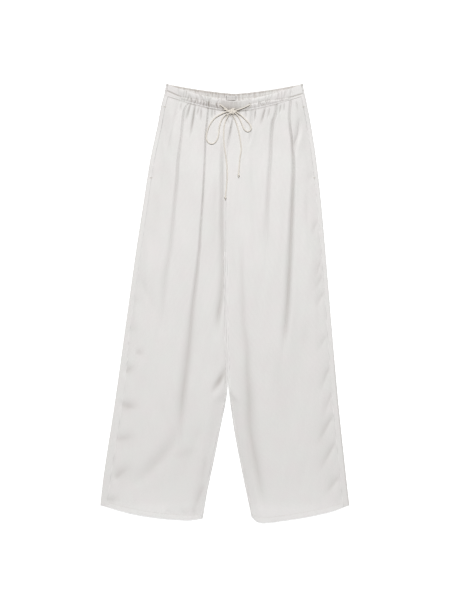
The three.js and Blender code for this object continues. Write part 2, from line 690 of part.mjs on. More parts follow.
const trousers = new THREE.Group();
function add(name, geometry, material, place = [0, 0, 0]) {
  const mesh = new THREE.Mesh(geometry, material);
  mesh.name = name;
  mesh.position.set(...place);
  trousers.add(mesh);
  return mesh;
}
for (const side of ["right", "left"]) {
  add(`front_panel_${side}`, frontPanel(side), satin);
  add(`back_panel_${side}`, backPanel(side), satin);
  add(`pocket_bag_${side}`, pocketBag(side), bagCloth);
}
add("waistband_front", frontBand(), bandSatin);
add("waistband_back", backBand(), bandSatin);
add("waist_label", new THREE.BoxGeometry(LABEL.wide, LABEL.tall, LABEL.wall), labelCloth, [
  LABEL.x,
  LABEL.y,
  BAND + 0.6 + LABEL.wall / 2,
]);
const holeZ = BAND_FRONT + 0.5 + SEAM_GAP;
add("buttonhole_right", buttonhole(), thread, [ROUTES.drawstring_right_lead[0][0], 473.6, holeZ]);
add("buttonhole_left", buttonhole(), thread, [ROUTES.drawstring_left_lead[0][0], 473.4, holeZ]);
for (const [name, route] of Object.entries(ROUTES)) {
  add(name, cordTube(routePoints(route)), cordCloth);
}
add("bow_knot", roundKnot(KNOT.wide, KNOT.tall, KNOT.high), cordCloth, [
  KNOT.x,
  KNOT.y,
  under(KNOT.x, KNOT.y, KNOT.tall / 3) + KNOT.high / 2 + SEAM_GAP,
]);
for (const side of ["right", "left"]) {
  const [x, y, z] = routePoints(ROUTES[`drawstring_${side}_tail`]).at(-1);
  const knot = roundKnot(END_KNOT.wide, END_KNOT.long, END_KNOT.wide);
  add(`end_knot_${side}`, knot, cordCloth, [x, y - END_KNOT.long / 2 - SEAM_GAP, z]);
}

export default trousers;
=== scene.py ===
import json
import math

import bpy
import numpy as np
from mathutils import Vector, noise
from mathutils.bvhtree import BVHTree
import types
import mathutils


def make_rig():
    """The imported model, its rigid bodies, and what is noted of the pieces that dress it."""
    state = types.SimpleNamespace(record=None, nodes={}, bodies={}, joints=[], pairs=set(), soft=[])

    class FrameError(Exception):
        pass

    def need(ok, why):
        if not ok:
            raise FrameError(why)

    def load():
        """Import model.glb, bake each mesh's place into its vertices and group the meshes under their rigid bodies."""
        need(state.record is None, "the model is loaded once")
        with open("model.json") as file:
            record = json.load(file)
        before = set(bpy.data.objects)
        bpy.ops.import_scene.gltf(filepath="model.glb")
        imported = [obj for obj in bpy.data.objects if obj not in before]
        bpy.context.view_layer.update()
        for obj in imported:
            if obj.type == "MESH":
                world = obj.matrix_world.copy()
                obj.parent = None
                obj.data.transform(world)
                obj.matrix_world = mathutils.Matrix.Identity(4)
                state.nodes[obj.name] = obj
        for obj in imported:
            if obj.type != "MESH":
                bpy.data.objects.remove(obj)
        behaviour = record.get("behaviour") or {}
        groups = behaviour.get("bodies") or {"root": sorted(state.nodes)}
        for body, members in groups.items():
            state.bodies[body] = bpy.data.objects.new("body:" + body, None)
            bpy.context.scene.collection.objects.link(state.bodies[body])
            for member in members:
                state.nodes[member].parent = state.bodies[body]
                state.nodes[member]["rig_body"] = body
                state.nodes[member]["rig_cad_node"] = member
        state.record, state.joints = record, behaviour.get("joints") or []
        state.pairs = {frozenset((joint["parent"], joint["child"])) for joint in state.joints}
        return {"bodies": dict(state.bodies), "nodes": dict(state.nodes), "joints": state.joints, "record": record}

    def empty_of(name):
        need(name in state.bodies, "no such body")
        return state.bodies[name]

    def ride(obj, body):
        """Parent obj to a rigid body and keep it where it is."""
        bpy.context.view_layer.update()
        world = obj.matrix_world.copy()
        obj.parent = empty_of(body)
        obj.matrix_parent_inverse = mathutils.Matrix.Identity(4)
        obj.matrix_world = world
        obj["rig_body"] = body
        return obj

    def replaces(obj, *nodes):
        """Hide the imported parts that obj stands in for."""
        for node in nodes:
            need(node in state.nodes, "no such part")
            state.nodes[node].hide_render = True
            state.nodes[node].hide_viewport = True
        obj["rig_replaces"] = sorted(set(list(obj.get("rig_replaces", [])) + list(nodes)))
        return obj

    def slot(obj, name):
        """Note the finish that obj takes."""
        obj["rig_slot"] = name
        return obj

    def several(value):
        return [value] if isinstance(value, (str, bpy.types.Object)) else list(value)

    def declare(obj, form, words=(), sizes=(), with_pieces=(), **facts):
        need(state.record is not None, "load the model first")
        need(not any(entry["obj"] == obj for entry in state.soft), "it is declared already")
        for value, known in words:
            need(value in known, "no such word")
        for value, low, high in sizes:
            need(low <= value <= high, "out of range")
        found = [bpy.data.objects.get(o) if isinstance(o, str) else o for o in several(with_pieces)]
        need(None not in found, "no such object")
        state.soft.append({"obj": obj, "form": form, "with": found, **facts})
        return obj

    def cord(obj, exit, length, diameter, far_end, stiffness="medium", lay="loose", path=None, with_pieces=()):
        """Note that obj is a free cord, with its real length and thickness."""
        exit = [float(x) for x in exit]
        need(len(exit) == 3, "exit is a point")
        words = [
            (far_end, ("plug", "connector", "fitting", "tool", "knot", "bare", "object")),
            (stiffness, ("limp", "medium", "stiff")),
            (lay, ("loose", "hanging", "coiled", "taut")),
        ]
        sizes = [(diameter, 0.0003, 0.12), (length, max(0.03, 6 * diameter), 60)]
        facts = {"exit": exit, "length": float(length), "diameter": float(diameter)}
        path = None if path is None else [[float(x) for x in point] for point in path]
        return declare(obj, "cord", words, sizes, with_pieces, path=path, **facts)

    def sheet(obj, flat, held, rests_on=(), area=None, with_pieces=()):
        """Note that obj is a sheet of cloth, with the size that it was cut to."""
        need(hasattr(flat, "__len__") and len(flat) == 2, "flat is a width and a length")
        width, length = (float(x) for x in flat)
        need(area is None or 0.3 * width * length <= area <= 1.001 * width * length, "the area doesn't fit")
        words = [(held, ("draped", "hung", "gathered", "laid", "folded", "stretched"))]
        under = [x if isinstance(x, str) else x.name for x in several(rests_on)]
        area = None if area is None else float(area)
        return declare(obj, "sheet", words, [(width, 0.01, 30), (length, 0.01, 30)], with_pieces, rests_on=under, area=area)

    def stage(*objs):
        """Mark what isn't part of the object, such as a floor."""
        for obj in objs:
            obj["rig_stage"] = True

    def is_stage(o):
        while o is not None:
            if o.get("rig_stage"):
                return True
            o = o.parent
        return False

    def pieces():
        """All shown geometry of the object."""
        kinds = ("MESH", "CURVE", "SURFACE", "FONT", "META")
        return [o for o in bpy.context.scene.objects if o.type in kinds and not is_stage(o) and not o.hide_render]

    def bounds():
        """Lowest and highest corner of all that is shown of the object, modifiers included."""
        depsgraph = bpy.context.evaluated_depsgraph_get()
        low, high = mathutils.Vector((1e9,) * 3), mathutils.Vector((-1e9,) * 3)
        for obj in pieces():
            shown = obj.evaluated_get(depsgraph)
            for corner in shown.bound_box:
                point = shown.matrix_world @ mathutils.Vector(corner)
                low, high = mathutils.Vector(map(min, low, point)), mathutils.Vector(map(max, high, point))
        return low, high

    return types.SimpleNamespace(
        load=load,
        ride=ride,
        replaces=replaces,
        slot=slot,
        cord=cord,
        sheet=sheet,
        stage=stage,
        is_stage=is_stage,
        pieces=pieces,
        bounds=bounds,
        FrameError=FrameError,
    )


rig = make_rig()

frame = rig.load()
cad_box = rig.bounds()

# Sizes in millimetres, as in the solids. X runs to the wearer's left, Y up to the waist, Z up.
MM = 0.001
SIDES = ("right", "left")
SIGN = {"right": 1, "left": -1}
CLOTH = 0.7  # wall of the satin
HEM_CLOTH = 1.5  # where the hem is turned up inside
HEM_TURN = 11  # depth of the turned hem
SEAM_GAP = 0.08  # between pieces that are sewn together
WAIST_X = 23.5  # middle of the waist, which lies a little to one side
WAIST_HALF = 169.5  # half the flat waist at the seam under the band
WAIST_TOP_HALF = 164.0  # and at the band's top edge
WAIST_END_Y = 497  # the waist seam at the sides
FRONT_DIP = 39  # how far the front waist seam dips at the centre
BACK_DIP = 22.5  # and the back one
DIP_POWER = 1.4  # how fast the dip flattens out towards the sides
CROTCH_Y = 126  # the row of the panels' grid that the crotch lies on
HEM_OUT_Y = -486  # the hem at the outer edge
HEM_IN_Y = -518  # and at the inner one
BELLY = 8.0  # outside of the front where it is fullest
AT_BAND = 7.8  # and where it is sewn to the band
SWELL = 48  # it swells to its full height over this length, from the band and from the edge
EDGE = 4.2  # outside of the folded edges
EDGE_DONE = 0.09  # by this share of the way down, the edge is as low as that
BOTTOM = 0.35  # outside of the back over the floor
CREASE_FLOOR = 2.2  # the front's outside stays above the back panel
BAG_FLOOR = 3.6  # and above a pocket bag
# The pocket: how far its mouth and its bag go down from the top, and the bag's width.
POCKET = {"top": 478, "mouth": 178, "depth": 262, "width": 128}
CORD_R = 1.5  # radius of the drawstring
OFF_FLOOR = 0.05  # no point lies lower
INSEAM_INSET = 4.6  # the inner seam lies this far inside the folded inner edge
CROTCH_TURN = 34  # the inner edge goes from flat seam to folded edge over this length
LEG_LONG = WAIST_END_Y - FRONT_DIP - HEM_IN_Y
CROTCH_V = (WAIST_END_Y - FRONT_DIP - CROTCH_Y) / LEG_LONG


def rows(columns, *values):
    """A table with named columns."""
    return [dict(zip(columns.split(), row)) for row in values]


# The folded outer edges, and the centre line with the gap between the legs.
OUTER = rows(
    "y right left",
    (497, -146.5, 193.3), (472, -153.0, 198.6), (424, -162.0, 207.7), (342, -179.4, 220.2),
    (234, -196.3, 232.2), (126, -213.0, 241.8), (-54, -238.2, 256.7), (-234, -263.4, 272.3),
    (-414, -291.0, 291.2), (-488, -299.5, 299.5),
)
INNER = rows(
    "y middle gap",
    (475, 24.6, 0.3), (458, 23.5, 0.3), (436, 17.4, 0.3), (412, 12.1, 0.3), (384, 7.8, 0.3),
    (330, 4.4, 0.3), (234, 3.0, 0.3), (126, 2.0, 0.3), (-42, 3.5, 0.3), (-140, 6.0, 0.4),
    (-197, 7.6, 1.2), (-233, 7.5, 9.0), (-305, 5.4, 33.6), (-377, 4.8, 61.0), (-449, 4.4, 91.0),
    (-520, 5.6, 118.0),
)
# The hem's line: share of the way from the outer edge to the inner one.
HEM = {
    "right": rows(
        "share y",
        (0, -486), (0.14, -495), (0.37, -508.5), (0.6, -516.5), (0.84, -521), (1, -518),
    ),
    "left": rows(
        "share y",
        (0, -486), (0.16, -499), (0.33, -508.5), (0.5, -516), (0.67, -522), (0.87, -527.5),
        (0.95, -524), (1, -514),
    ),
}
# The side seam lies on top, this far inside the folded edge.
SIDE_SEAM = rows(
    "y right left",
    (497, 10, 10), (330, 10, 10), (120, 12, 10), (-60, 12, 11), (-180, 17, 13), (-320, 18, 14),
    (-488, 16, 14),
)

# The long folds of the fronts, each with a path of x, y and strength. The half width grows from
# narrow to wide over the reach. A soft one is a round hollow. One that swallows doubles the cloth.
PLAIN_FOLD = {"grow": 1.6, "reach": 420, "soft": False, "swallows": False}
LONG_FOLDS = {"right": [], "left": []}


def fold(side, *path, **sizes):
    LONG_FOLDS[side].append({**PLAIN_FOLD, "path": path, **sizes})


fold(
    "right", (-86, 478, 0.5), (-95, 467, 0.9), (-99, 451, 0.9), (-104, 402, 0.7),
    (-112, 342, 0.9), (-115, 290, 1), (-119.5, 246, 0.9), (-132, 126, 0.85), (-142, 66, 0.8),
    (-150, -10, 0.6), (-155, -60, 0.25), (-160, -110, 0),
    depth=2.1, narrow=2.4, wide=8, grow=2, swallows=True,
)
fold(
    "right", (-40, 462, 0.8), (-43, 430, 0.9), (-46, 402, 1), (-48, 342, 0.8), (-53, 246, 1),
    (-58, 180, 0.85), (-61, 126, 0.95), (-68, 60, 1), (-78, -20, 1), (-87, -113, 1),
    (-94, -173, 1.05), (-101, -233, 1.05), (-106, -300, 0.6), (-108, -360, 0.15), (-109, -400, 0),
    depth=3, narrow=1.8, wide=12, grow=3.2, reach=600, swallows=True,
)
fold(
    "right", (-103, -250, 0), (-115, -300, 0.5), (-130, -339, 0.85), (-150, -366, 1),
    (-170, -390, 1), (-190, -414, 0.75), (-214, -446, 0),
    depth=1.5, narrow=34, wide=42, soft=True,
)
fold(
    "right", (-6, 400, 0.1), (-7, 340, 0.7), (-7, 260, 0.9), (-7, 180, 0.95), (-5, 126, 0.95),
    (-5, 66, 1), (-8.5, 10, 1.1), (-15, -30, 0.9), (-19, -62, 0.4), (-22, -95, 0),
    depth=2.9, narrow=4.4, wide=10, swallows=True,
)
fold(
    "right", (2, -146, 0), (-2, -164, 0.8), (-10, -182, 1), (-20, -200, 0.7), (-32, -224, 0),
    depth=1.7, narrow=14, wide=16, soft=True,
)
fold(
    "right", (-112, 475, 0.5), (-121, 440, 0.5), (-136, 385, 0.35), (-141, 350, 0),
    depth=1.4, narrow=5, wide=10,
)
fold(
    "left", (158, 478, 0.6), (155, 450, 0.6), (157, 421, 0.7), (162, 385, 0.95), (165, 330, 0.9),
    (163, 262, 1.1), (160, 187, 1.1), (157, 110, 1), (154, 60, 1.1), (151, 0, 1), (146, -60, 0.8),
    (142, -100, 0.35), (138, -150, 0),
    depth=3.7, narrow=2.7, wide=8, swallows=True,
)
fold(
    "left", (180, 445, 0), (178, 425, 0.6), (175, 402, 0.9), (167, 378, 1), (164, 350, 0.4),
    (163, 330, 0),
    depth=2.4, narrow=7, wide=9,
)
fold(
    "left", (124, 463, 0.9), (120, 446, 1.1), (116, 436, 1.3), (112, 402, 0.9), (110, 354, 0.8),
    (106, 290, 0.7), (103, 240, 0.75), (101, 190, 0.5), (99, 125, 0.3), (98, 60, 0),
    depth=2.6, narrow=3.4, wide=9, swallows=True,
)
fold(
    "left", (44, 150, 0), (40, 90, 0.45), (43, 10, 0.65), (46, -55, 0.7), (53, -113, 0.85),
    (55, -173, 0.95), (58, -233, 1.1), (60, -305, 1.1), (73, -377, 1.1), (86, -449, 0.8),
    (92, -490, 0.2), (94, -520, 0),
    depth=2.6, narrow=8, wide=17, swallows=True,
)
fold(
    "left", (66, 462, 0.9), (64, 440, 0.7), (62, 405, 0.6), (59, 378, 0),
    depth=1.8, narrow=4, wide=6,
)
# Short creases: from x and y, to x and y, depth and half width. Gathers under the band, puckers at
# the seams, and last the widest, which are soft swells.
SHORT_CREASES = [
    (-82, 478, -91, 444, 2, 2.6), (-71, 474, -80, 414, 2.4, 3), (-56, 466, -57, 440, 1.6, 2.4),
    (-30, 464, -31, 444, 1.6, 2.2), (-24, 462, -24, 447, 1.6, 2.2), (4, 446, 10, 430, 1.6, 2.4),
    (19, 440, 8, 382, 1.6, 3), (34, 461, 35, 448, 1.2, 2), (50, 461, 52, 446, 1.4, 2),
    (74, 462, 72, 440, 1.8, 2.2), (97, 466, 88, 434, 2.2, 3), (108, 466, 104, 446, 1.4, 2.2),
    (135, 474, 132, 458, 1.6, 2.2), (143, 478, 142, 462, 1.2, 2), (172, 482, 176, 462, 1, 2.4),
    (-62, 468, -66, 452, 1.4, 2), (-104, 478, -106, 462, 1, 2.4), (-186, 320, -172, 302, 1.2, 4),
    (-214, -118, -197, -124, 2.2, 6), (-243, -168, -222, -155, 2.2, 6),
    (-252, -243, -214, -251, 3, 6.5), (-262, -329, -222, -323, 2.4, 7.5),
    (-266, -424, -232, -396, 2.6, 8), (-288, -474, -256, -474, 1.8, 6),
    (-232, -60, -214, -66, 1.4, 5), (-222, 10, -208, -2, 1.2, 5), (214, 310, 202, 296, 1.4, 4),
    (222, 196, 212, 168, 1.6, 5), (230, 98, 220, 66, 1.8, 5), (236, 66, 219, 36, 2, 5.5),
    (240, 28, 222, -4, 2, 5.5), (244, -78, 226, -112, 1.8, 6), (252, -152, 232, -206, 2.4, 6),
    (258, -216, 240, -262, 2, 5.5), (260, -270, 226, -332, 3, 6.5),
    (266, -334, 232, -396, 3, 6.5), (276, -416, 244, -456, 2.8, 7),
    (284, -462, 262, -486, 0.5, 6), (-44, -372, -54, -430, 1.2, 6), (-50, -440, -70, -492, 2, 7),
    (52, -330, 60, -390, 1.2, 5), (-142, -498, -120, -508, 1, 4), (-104, -500, -88, -512, 1.2, 4),
    (-78, -500, -66, -512, 1.2, 4), (-206, 60, -168, -20, 0.9, 16),
    (-60, -300, -100, -420, 0.9, 20), (196, -60, 170, -220, 0.9, 22),
    (120, -120, 150, -330, 0.8, 24), (-20, 300, -26, 120, 0.7, 10), (66, 330, 70, 160, 0.7, 12),
    (-150, 330, -168, 190, 0.7, 14), (196, 260, 202, 120, 0.8, 12),
]

# Painted shade where the cloth turns softly away from the light: place, half width and length, lean and tone.
PAINTED_SHADE_PLACES = rows(
    "x y wide long lean tone",
    (16, 448.5, 15, 4, 0.0, 0.65), (-12, -186, 7, 20, 0.55, 0.46), (2, -176, 2.5, 22, 0.1, 0.3),
    (-14, -24, 7, 26, 0.1, 0.12), (-160, -379, 20, 44, 0.83, 0.04), (-98, -360, 20, 12, 0.6, 0.1),
    (-84, -496, 34, 9, 1.0, 0.1), (-64, -466, 7, 40, 0.22, 0.05), (-255, -407, 13, 13, 0.4, 0.05),
    (-268, -469, 12, 9, 0.4, 0.05), (-248, -334, 16, 12, 0.6, 0.05),
    (-236, -252, 14, 8, 0.4, 0.14), (-228, -160, 10, 10, 0.4, 0.1),
    (-80, -96, 12, 110, 0.1, 0.05), (62, -210, 13, 120, -0.08, 0.05),
    (20, 120, 11, 60, 0.0, 0.03), (-172, 200, 24, 120, 0.14, 0.05),
    (-110, 300, 50, 90, 0.0, 0.04), (238, -330, 16, 110, -0.14, 0.04),
)


# Painted shade, deeper towards the waist, and painted light towards the hem.
PAINTED_SHADE_AND_LIGHT_RAMPS = rows("start end tone", (330, 400, 0.06), (-400, -480, -0.05), (-470, -500, -0.1))


# Curves and sums
def lerp(a, b, t):
    return a + (b - a) * t


def smooth(low, high, t):
    s = np.clip((np.asarray(t, float) - low) / (high - low), 0, 1)
    return s * s * (3 - 2 * s)


def bell(distance, reach):
    """1 at no distance, falling off over the reach."""
    return np.exp(-((distance / reach) ** 2))


def travelled(path):
    """The distance along a path at each of its points."""
    return np.concatenate([[0], np.cumsum(np.linalg.norm(np.diff(path, axis=0), axis=1))])


def through(keys, values):
    """A smooth curve through the points, straight beyond its ends, as a function."""
    order = np.argsort(keys)
    k = np.asarray(keys, float)[order]
    v = np.asarray(values, float)[order]
    before = np.maximum(np.arange(len(k)) - 1, 0)
    after = np.minimum(np.arange(len(k)) + 1, len(k) - 1)
    slope = (v[after] - v[before]) / (k[after] - k[before])

    def at(x):
        x = np.asarray(x, float)
        i = np.clip(np.searchsorted(k, x) - 1, 0, len(k) - 2)
        span = k[i + 1] - k[i]
        t = np.clip((x - k[i]) / span, 0, 1)
        inside = (
            (2 * t**3 - 3 * t**2 + 1) * v[i]
            + (t**3 - 2 * t**2 + t) * span * slope[i]
            + (3 * t**2 - 2 * t**3) * v[i + 1]
            + (t**3 - t**2) * span * slope[i + 1]
        )
        under = np.minimum(x - k[0], 0) * slope[0]
        over = np.maximum(x - k[-1], 0) * slope[-1]
        return inside + under + over

    return at


def column(table, key, value):
    """One column of a table as a smooth function of another."""
    return through([row[key] for row in table], [row[value] for row in table])


outer_edge = {side: column(OUTER, "y", side) for side in SIDES}
middle = column(INNER, "y", "middle")
gap_at = column(INNER, "y", "gap")
hem_line = {side: column(HEM[side], "share", "y") for side in HEM}
side_inset = {side: column(SIDE_SEAM, "y", side) for side in SIDES}


def painted_shade_and_light(x, y):
    """How much painted shade deepens the cloth's tone where it turns away from the light; below 0 it is painted light
    towards the hem.
    """
    total = sum(ramp["tone"] * smooth(ramp["start"], ramp["end"], y) for ramp in PAINTED_SHADE_AND_LIGHT_RAMPS)
    for spot in PAINTED_SHADE_PLACES:
        up = y - spot["y"]
        across = (x - spot["x"] - spot["lean"] * up) / spot["wide"]
        total = total + spot["tone"] * np.exp(-(across**2) - (up / spot["long"]) ** 2)
    return total


def inner_edge(side, y):
    """A front's inner side. The solids' gap of 0.3 mm at the seam is closed to 0.02 mm."""
    return middle(y) - SIGN[side] * np.maximum(0.02, gap_at(y) - 0.28) / 2


def waist_share(x):
    return (x - WAIST_X) / WAIST_HALF


def dipped(x, low):
    return low * (1 - np.minimum(1, np.abs(waist_share(x))) ** DIP_POWER)


def apart(y):
    """0 where the legs lie against each other, 1 where there is room between them."""
    return smooth(0.8, 12, gap_at(y))


def parted(v, start, end):
    """Goes from 0 to 1 below the crotch, between these shares of the crotch's turn."""
    turn = [CROTCH_V + t * CROTCH_TURN / LEG_LONG for t in (start, end)]
    return smooth(*turn, v)


def plan(side, u, v, back=False):
    """A point of the floor plan, at share u from the outer edge and v from the waist."""
    low = BACK_DIP if back else FRONT_DIP
    out_y = lerp(WAIST_END_Y, HEM_OUT_Y, v)
    lift = (FRONT_DIP - low) * np.clip(1 - v / CROTCH_V, 0, 1)
    in_y = lerp(WAIST_END_Y - FRONT_DIP, HEM_IN_Y, v) + lift
    out_x = outer_edge[side](out_y)
    x = lerp(out_x, inner_edge(side, in_y), u)
    waist_x = lerp(outer_edge[side](WAIST_END_Y), inner_edge(side, WAIST_END_Y - low), u)
    curve = low * u - dipped(waist_x, low)
    hem = hem_line[side](u) - lerp(HEM_OUT_Y, HEM_IN_Y, u)
    return x, lerp(out_y, in_y, u) + curve * (1 - v) ** 3 + hem * v**3


def wobble(x, y, scale_x, scale_y, seed):
    """Smooth unevenness from -1 to 1 that repeats nowhere."""
    flat = [
        noise.noise(Vector((a / scale_x, b / scale_y, seed)))
        for a, b in zip(np.ravel(x).tolist(), np.ravel(y).tolist())
    ]
    return np.reshape(flat, np.shape(x)) * 1.6


def uneven(x, scale, seed):
    """Unevenness along one line."""
    return wobble(x, x * 0, scale, 1, seed)


# The relief of the cloth
def trough(q):
    """A crease with a sharp bottom and a long soft flank on its left."""
    sharp = np.exp(-(np.abs(q) ** 1.2))
    flank = np.exp(-(np.abs(q) / np.where(q < 0, 3.8, 1.6)) ** 1.6)
    return 0.72 * sharp + 0.28 * flank


def crest(q):
    """The cloth bulges on the left of a fold, before it drops into it."""
    return 0.16 * bell(q + 2.5, 1.5) + 0.1 * bell(q - 2.6, 1.6)


FOLD_WIDTH = 0.58  # times the widths of the long folds
FOLD_END = 4  # a long fold ends within this distance


def long_folds(side, x, y):
    """How deep the long folds are at a point, and how far the cloth rises beside them."""
    deep = np.zeros_like(x)
    rise = np.zeros_like(x)
    for one in LONG_FOLDS[side]:
        xs, ys, strengths = zip(*one["path"])
        top, end = max(ys), min(ys)
        held = np.clip(y, end, top)
        strong = np.clip(through(ys, strengths)(held), 0, 2)
        fade = strong * smooth(end - FOLD_END, end + FOLD_END, y)
        opened = np.clip((top - y) / one["reach"], 0, 1) ** one["grow"]
        half = FOLD_WIDTH * lerp(one["narrow"], one["wide"], opened)
        q = (x - through(ys, xs)(held)) / half
        form = bell(q, 1) if one["soft"] else trough(q)
        deep = np.maximum(deep, one["depth"] * fade * form)
        rise = rise + one["depth"] * fade * crest(q)
    return deep, rise * (1 - deep / (deep + 1.5))


GATHERS_ABOVE = 430  # creases that start above this height are gathers
PUCKER_WIDEST = 10  # and the others up to this half width are puckers
GATHER_TIMES = (0.9, 0.5)  # depth and half width, times those in the table
PUCKER_TIMES = {"right": (0.54, 1.25), "left": (0.5, 0.85)}


def short_creases(x, y, widest=99):
    """How deep the short creases up to a half width are at a point."""
    deep = np.zeros_like(x)
    for x0, y0, x1, y1, depth, half in SHORT_CREASES:
        if half > widest:
            continue
        times = (1, 1)
        if y0 > GATHERS_ABOVE:
            times = GATHER_TIMES
        elif half < PUCKER_WIDEST:
            times = PUCKER_TIMES["right" if x0 < 0 else "left"]
        depth, half = depth * times[0], half * times[1]
        long = math.hypot(x1 - x0, y1 - y0)
        ax, ay = (x1 - x0) / long, (y1 - y0) / long
        t = ((x - x0) * ax + (y - y0) * ay) / long
        q = ((x - x0) * -ay + (y - y0) * ax) / (half * (0.6 + 0.6 * np.clip(t, 0, 1)))
        along = smooth(-0.15, 0.25, t) * smooth(1.5, 0.4, t)
        deep = deep + depth * along * trough(q)
    return deep


def inner_high(y):
    """Where the legs lie against each other they stand nearly as high as the front does."""
    return lerp(BELLY - 0.3, EDGE, apart(y))


def edge_high(v):
    """Height of the folded outer edge."""
    return lerp(AT_BAND, EDGE, smooth(0, EDGE_DONE, v))


def over_bag(side, x, y):
    """1 where a pocket bag lies under the front, falling to 0 around it."""
    far = np.abs(x - outer_edge[side](y))
    bottom = POCKET["top"] - POCKET["depth"]
    in_width = smooth(POCKET["width"] + 22, POCKET["width"] + 4, far)
    return in_width * smooth(bottom - 24, bottom - 4, y)


# Waves of the lying cloth: broad ones, fine ones, and the finest near the waist only.
WAVES = rows("high wide long seed", (0.7, 46, 150, 1.7), (0.22, 15, 60, 4.1), (0.1, 7, 20, 8.3))
# The belly falls to the inner edge over this width, where the legs touch and where they don't.
INNER_FALL = {"right": (12, 36), "left": (3, 28)}


def front_high(side, d, wide, x, y, v):
    """The front's outside, d from the outer edge of a leg that is so wide there: its full height,
    its relief and the depth of its creases."""
    leg = smooth(CROTCH_V - 0.005, CROTCH_V + 0.05, v)
    near = lerp(*INNER_FALL[side], apart(y))
    below_seam = WAIST_END_Y - dipped(x, FRONT_DIP) - y
    belly = lerp(AT_BAND, BELLY, smooth(0, SWELL, below_seam))
    full = lerp(edge_high(v), belly, smooth(0, SWELL, d))
    full = lerp(full, inner_high(y), leg * (1 - smooth(-1, near, wide - d)))
    waves = [w["high"] * wobble(x, y, w["wide"], w["long"], w["seed"]) for w in WAVES]
    waves = waves[0] + waves[1] + waves[2] * smooth(0.3, 0, v)
    folds, rise = long_folds(side, x, y)
    short = short_creases(x, y)
    off = smooth(3, 26, d) * lerp(1, smooth(0, 14, wide - d), leg)
    deep = np.maximum(folds, short) + 0.35 * np.minimum(folds, short)
    return full, waves * off + rise * off - deep, deep


def seam_dip(off_seam, y, depth, reach, seed):
    """The cloth sinks into a seam, more where the seam puckers."""
    pucker = 1 + 0.55 * uneven(y, 17, seed) + 0.3 * uneven(y, 5, seed + 3)
    return depth * pucker * bell(off_seam, reach)


# The side seam starts to pull the cloth in at a height, and does so in full at the next.
SEAM_PULL = {"right": (120, -60), "left": (260, 120)}
SEAM_SEED = {"right": 2.2, "left": 6.1}


def front_surface(side, d, wide, x, y, v):
    """Height of the front's outside with its seams and hem."""
    full, relief, _ = front_high(side, d, wide, x, y, v)
    z = full + relief
    pull = 0.08 + 0.6 * smooth(*SEAM_PULL[side], y)
    z = z - pull * seam_dip(d - side_inset[side](y), y, 0.9, 5.0, SEAM_SEED[side])
    in_seam = wide - lerp(0, INSEAM_INSET, parted(v, 0, 1))
    z = z - seam_dip(in_seam - d, y, 0.3, 3.0, 9.4)
    hem_off = (1 - v) * LEG_LONG - HEM_TURN
    ripple = 0.32 * uneven(x, 9, 5.5) * smooth(30, 0, np.abs(hem_off))
    z = z - 0.12 * bell(hem_off, 2.2) + ripple * smooth(4, 20, d)
    return np.maximum(z, lerp(CREASE_FLOOR, BAG_FLOOR, over_bag(side, x, y)))


# Meshes
def new_mesh(name, points, faces, uv=None, sharp=50, shade=None):
    mesh = bpy.data.meshes.new(name)
    mesh.from_pydata((np.asarray(points, float) * MM).tolist(), [], faces)
    if uv is not None:
        layer = mesh.uv_layers.new(name="UVMap")
        corner = np.zeros(len(mesh.loops), dtype=np.int32)
        mesh.loops.foreach_get("vertex_index", corner)
        layer.data.foreach_set("uv", (np.asarray(uv, float)[corner] * MM).ravel())
    if shade is not None:
        mesh.attributes.new("shade", "FLOAT", "POINT").data.foreach_set("value", np.ravel(shade))
    mesh.validate()
    mesh.shade_smooth()
    mesh.set_sharp_from_angle(angle=math.radians(sharp))
    return add_object(name, mesh)


def shell(name, outside, inside, uv, shade=None):
    """A closed sheet of cloth between two grids of points."""
    grid = np.arange(outside[..., 0].size).reshape(outside.shape[:2])
    n = grid.size
    a, b, c, d = grid[:-1, :-1], grid[:-1, 1:], grid[1:, 1:], grid[1:, :-1]
    top = np.stack([a, b, c, d], -1).reshape(-1, 4)
    under = top[:, ::-1] + n
    rim = np.concatenate([grid[0, :], grid[1:, -1], grid[-1, -2::-1], grid[-2:0:-1, 0]])
    nxt = np.roll(rim, -1)
    side = np.stack([nxt, rim, rim + n, nxt + n], -1)
    faces = np.concatenate([top, under, side])
    points = np.concatenate([outside.reshape(-1, 3), inside.reshape(-1, 3)])
    points[:, 2] = np.maximum(points[:, 2], OFF_FLOOR)
    volume = 0
    for corners in ([0, 1, 2], [0, 2, 3]):
        p, q, r = (points[i] for i in faces[:, corners].T)
        volume += np.einsum("ij,ij->i", p, np.cross(q, r)).sum()
    if volume < 0:
        faces = faces[:, ::-1]
    both = np.concatenate([uv.reshape(-1, 2), uv.reshape(-1, 2)])
    shade = np.zeros(n) if shade is None else np.ravel(shade)
    return new_mesh(name, points, faces.tolist(), both, shade=np.concatenate([shade, shade]))


def inside_of(outside, wall, part, below):
    """Moves a grid of points by the wall along its normals, to lie below or above it in a part."""
    normal = np.cross(np.gradient(outside, axis=1), np.gradient(outside, axis=0))
    normal /= np.maximum(np.linalg.norm(normal, axis=2, keepdims=True), 1e-9)
    moved = outside + normal * np.asarray(wall)[..., None]
    is_below = (moved - outside)[..., 2][part].mean() < 0
    return moved if is_below == below else 2 * outside - moved


def dress(obj, node, slot, material):
    """It stands for a node of the solids or for none."""
    obj.data.materials.append(material)
    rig.ride(obj, "root")
    if node:
        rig.replaces(obj, node)
    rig.slot(obj, slot)
    return obj


def panel_rows(fine, coarse):
    """Shares from the waist to the hem, closer together at the gathers and at the hem."""
    v = [0.0]
    while v[-1] < 1:
        step = lerp(fine, coarse, smooth(0.0, 0.2, v[-1])) / LEG_LONG
        if v[-1] > 1 - 26 / LEG_LONG:
            step = fine / LEG_LONG
        step = min(step, (0.9 + 0.2 * v[-1] * LEG_LONG) / LEG_LONG)
        v.append(v[-1] + float(step))
    v = np.array(v[:-1])
    return (v / v[-1])[:, None]


def wall_at(v):
    """The panel's wall, which is thicker at the hem."""
    above, hem = 1 - (HEM_TURN + 0.5) / LEG_LONG, 1 - HEM_TURN / LEG_LONG
    return lerp(CLOTH, HEM_CLOTH, smooth(above, hem, v))


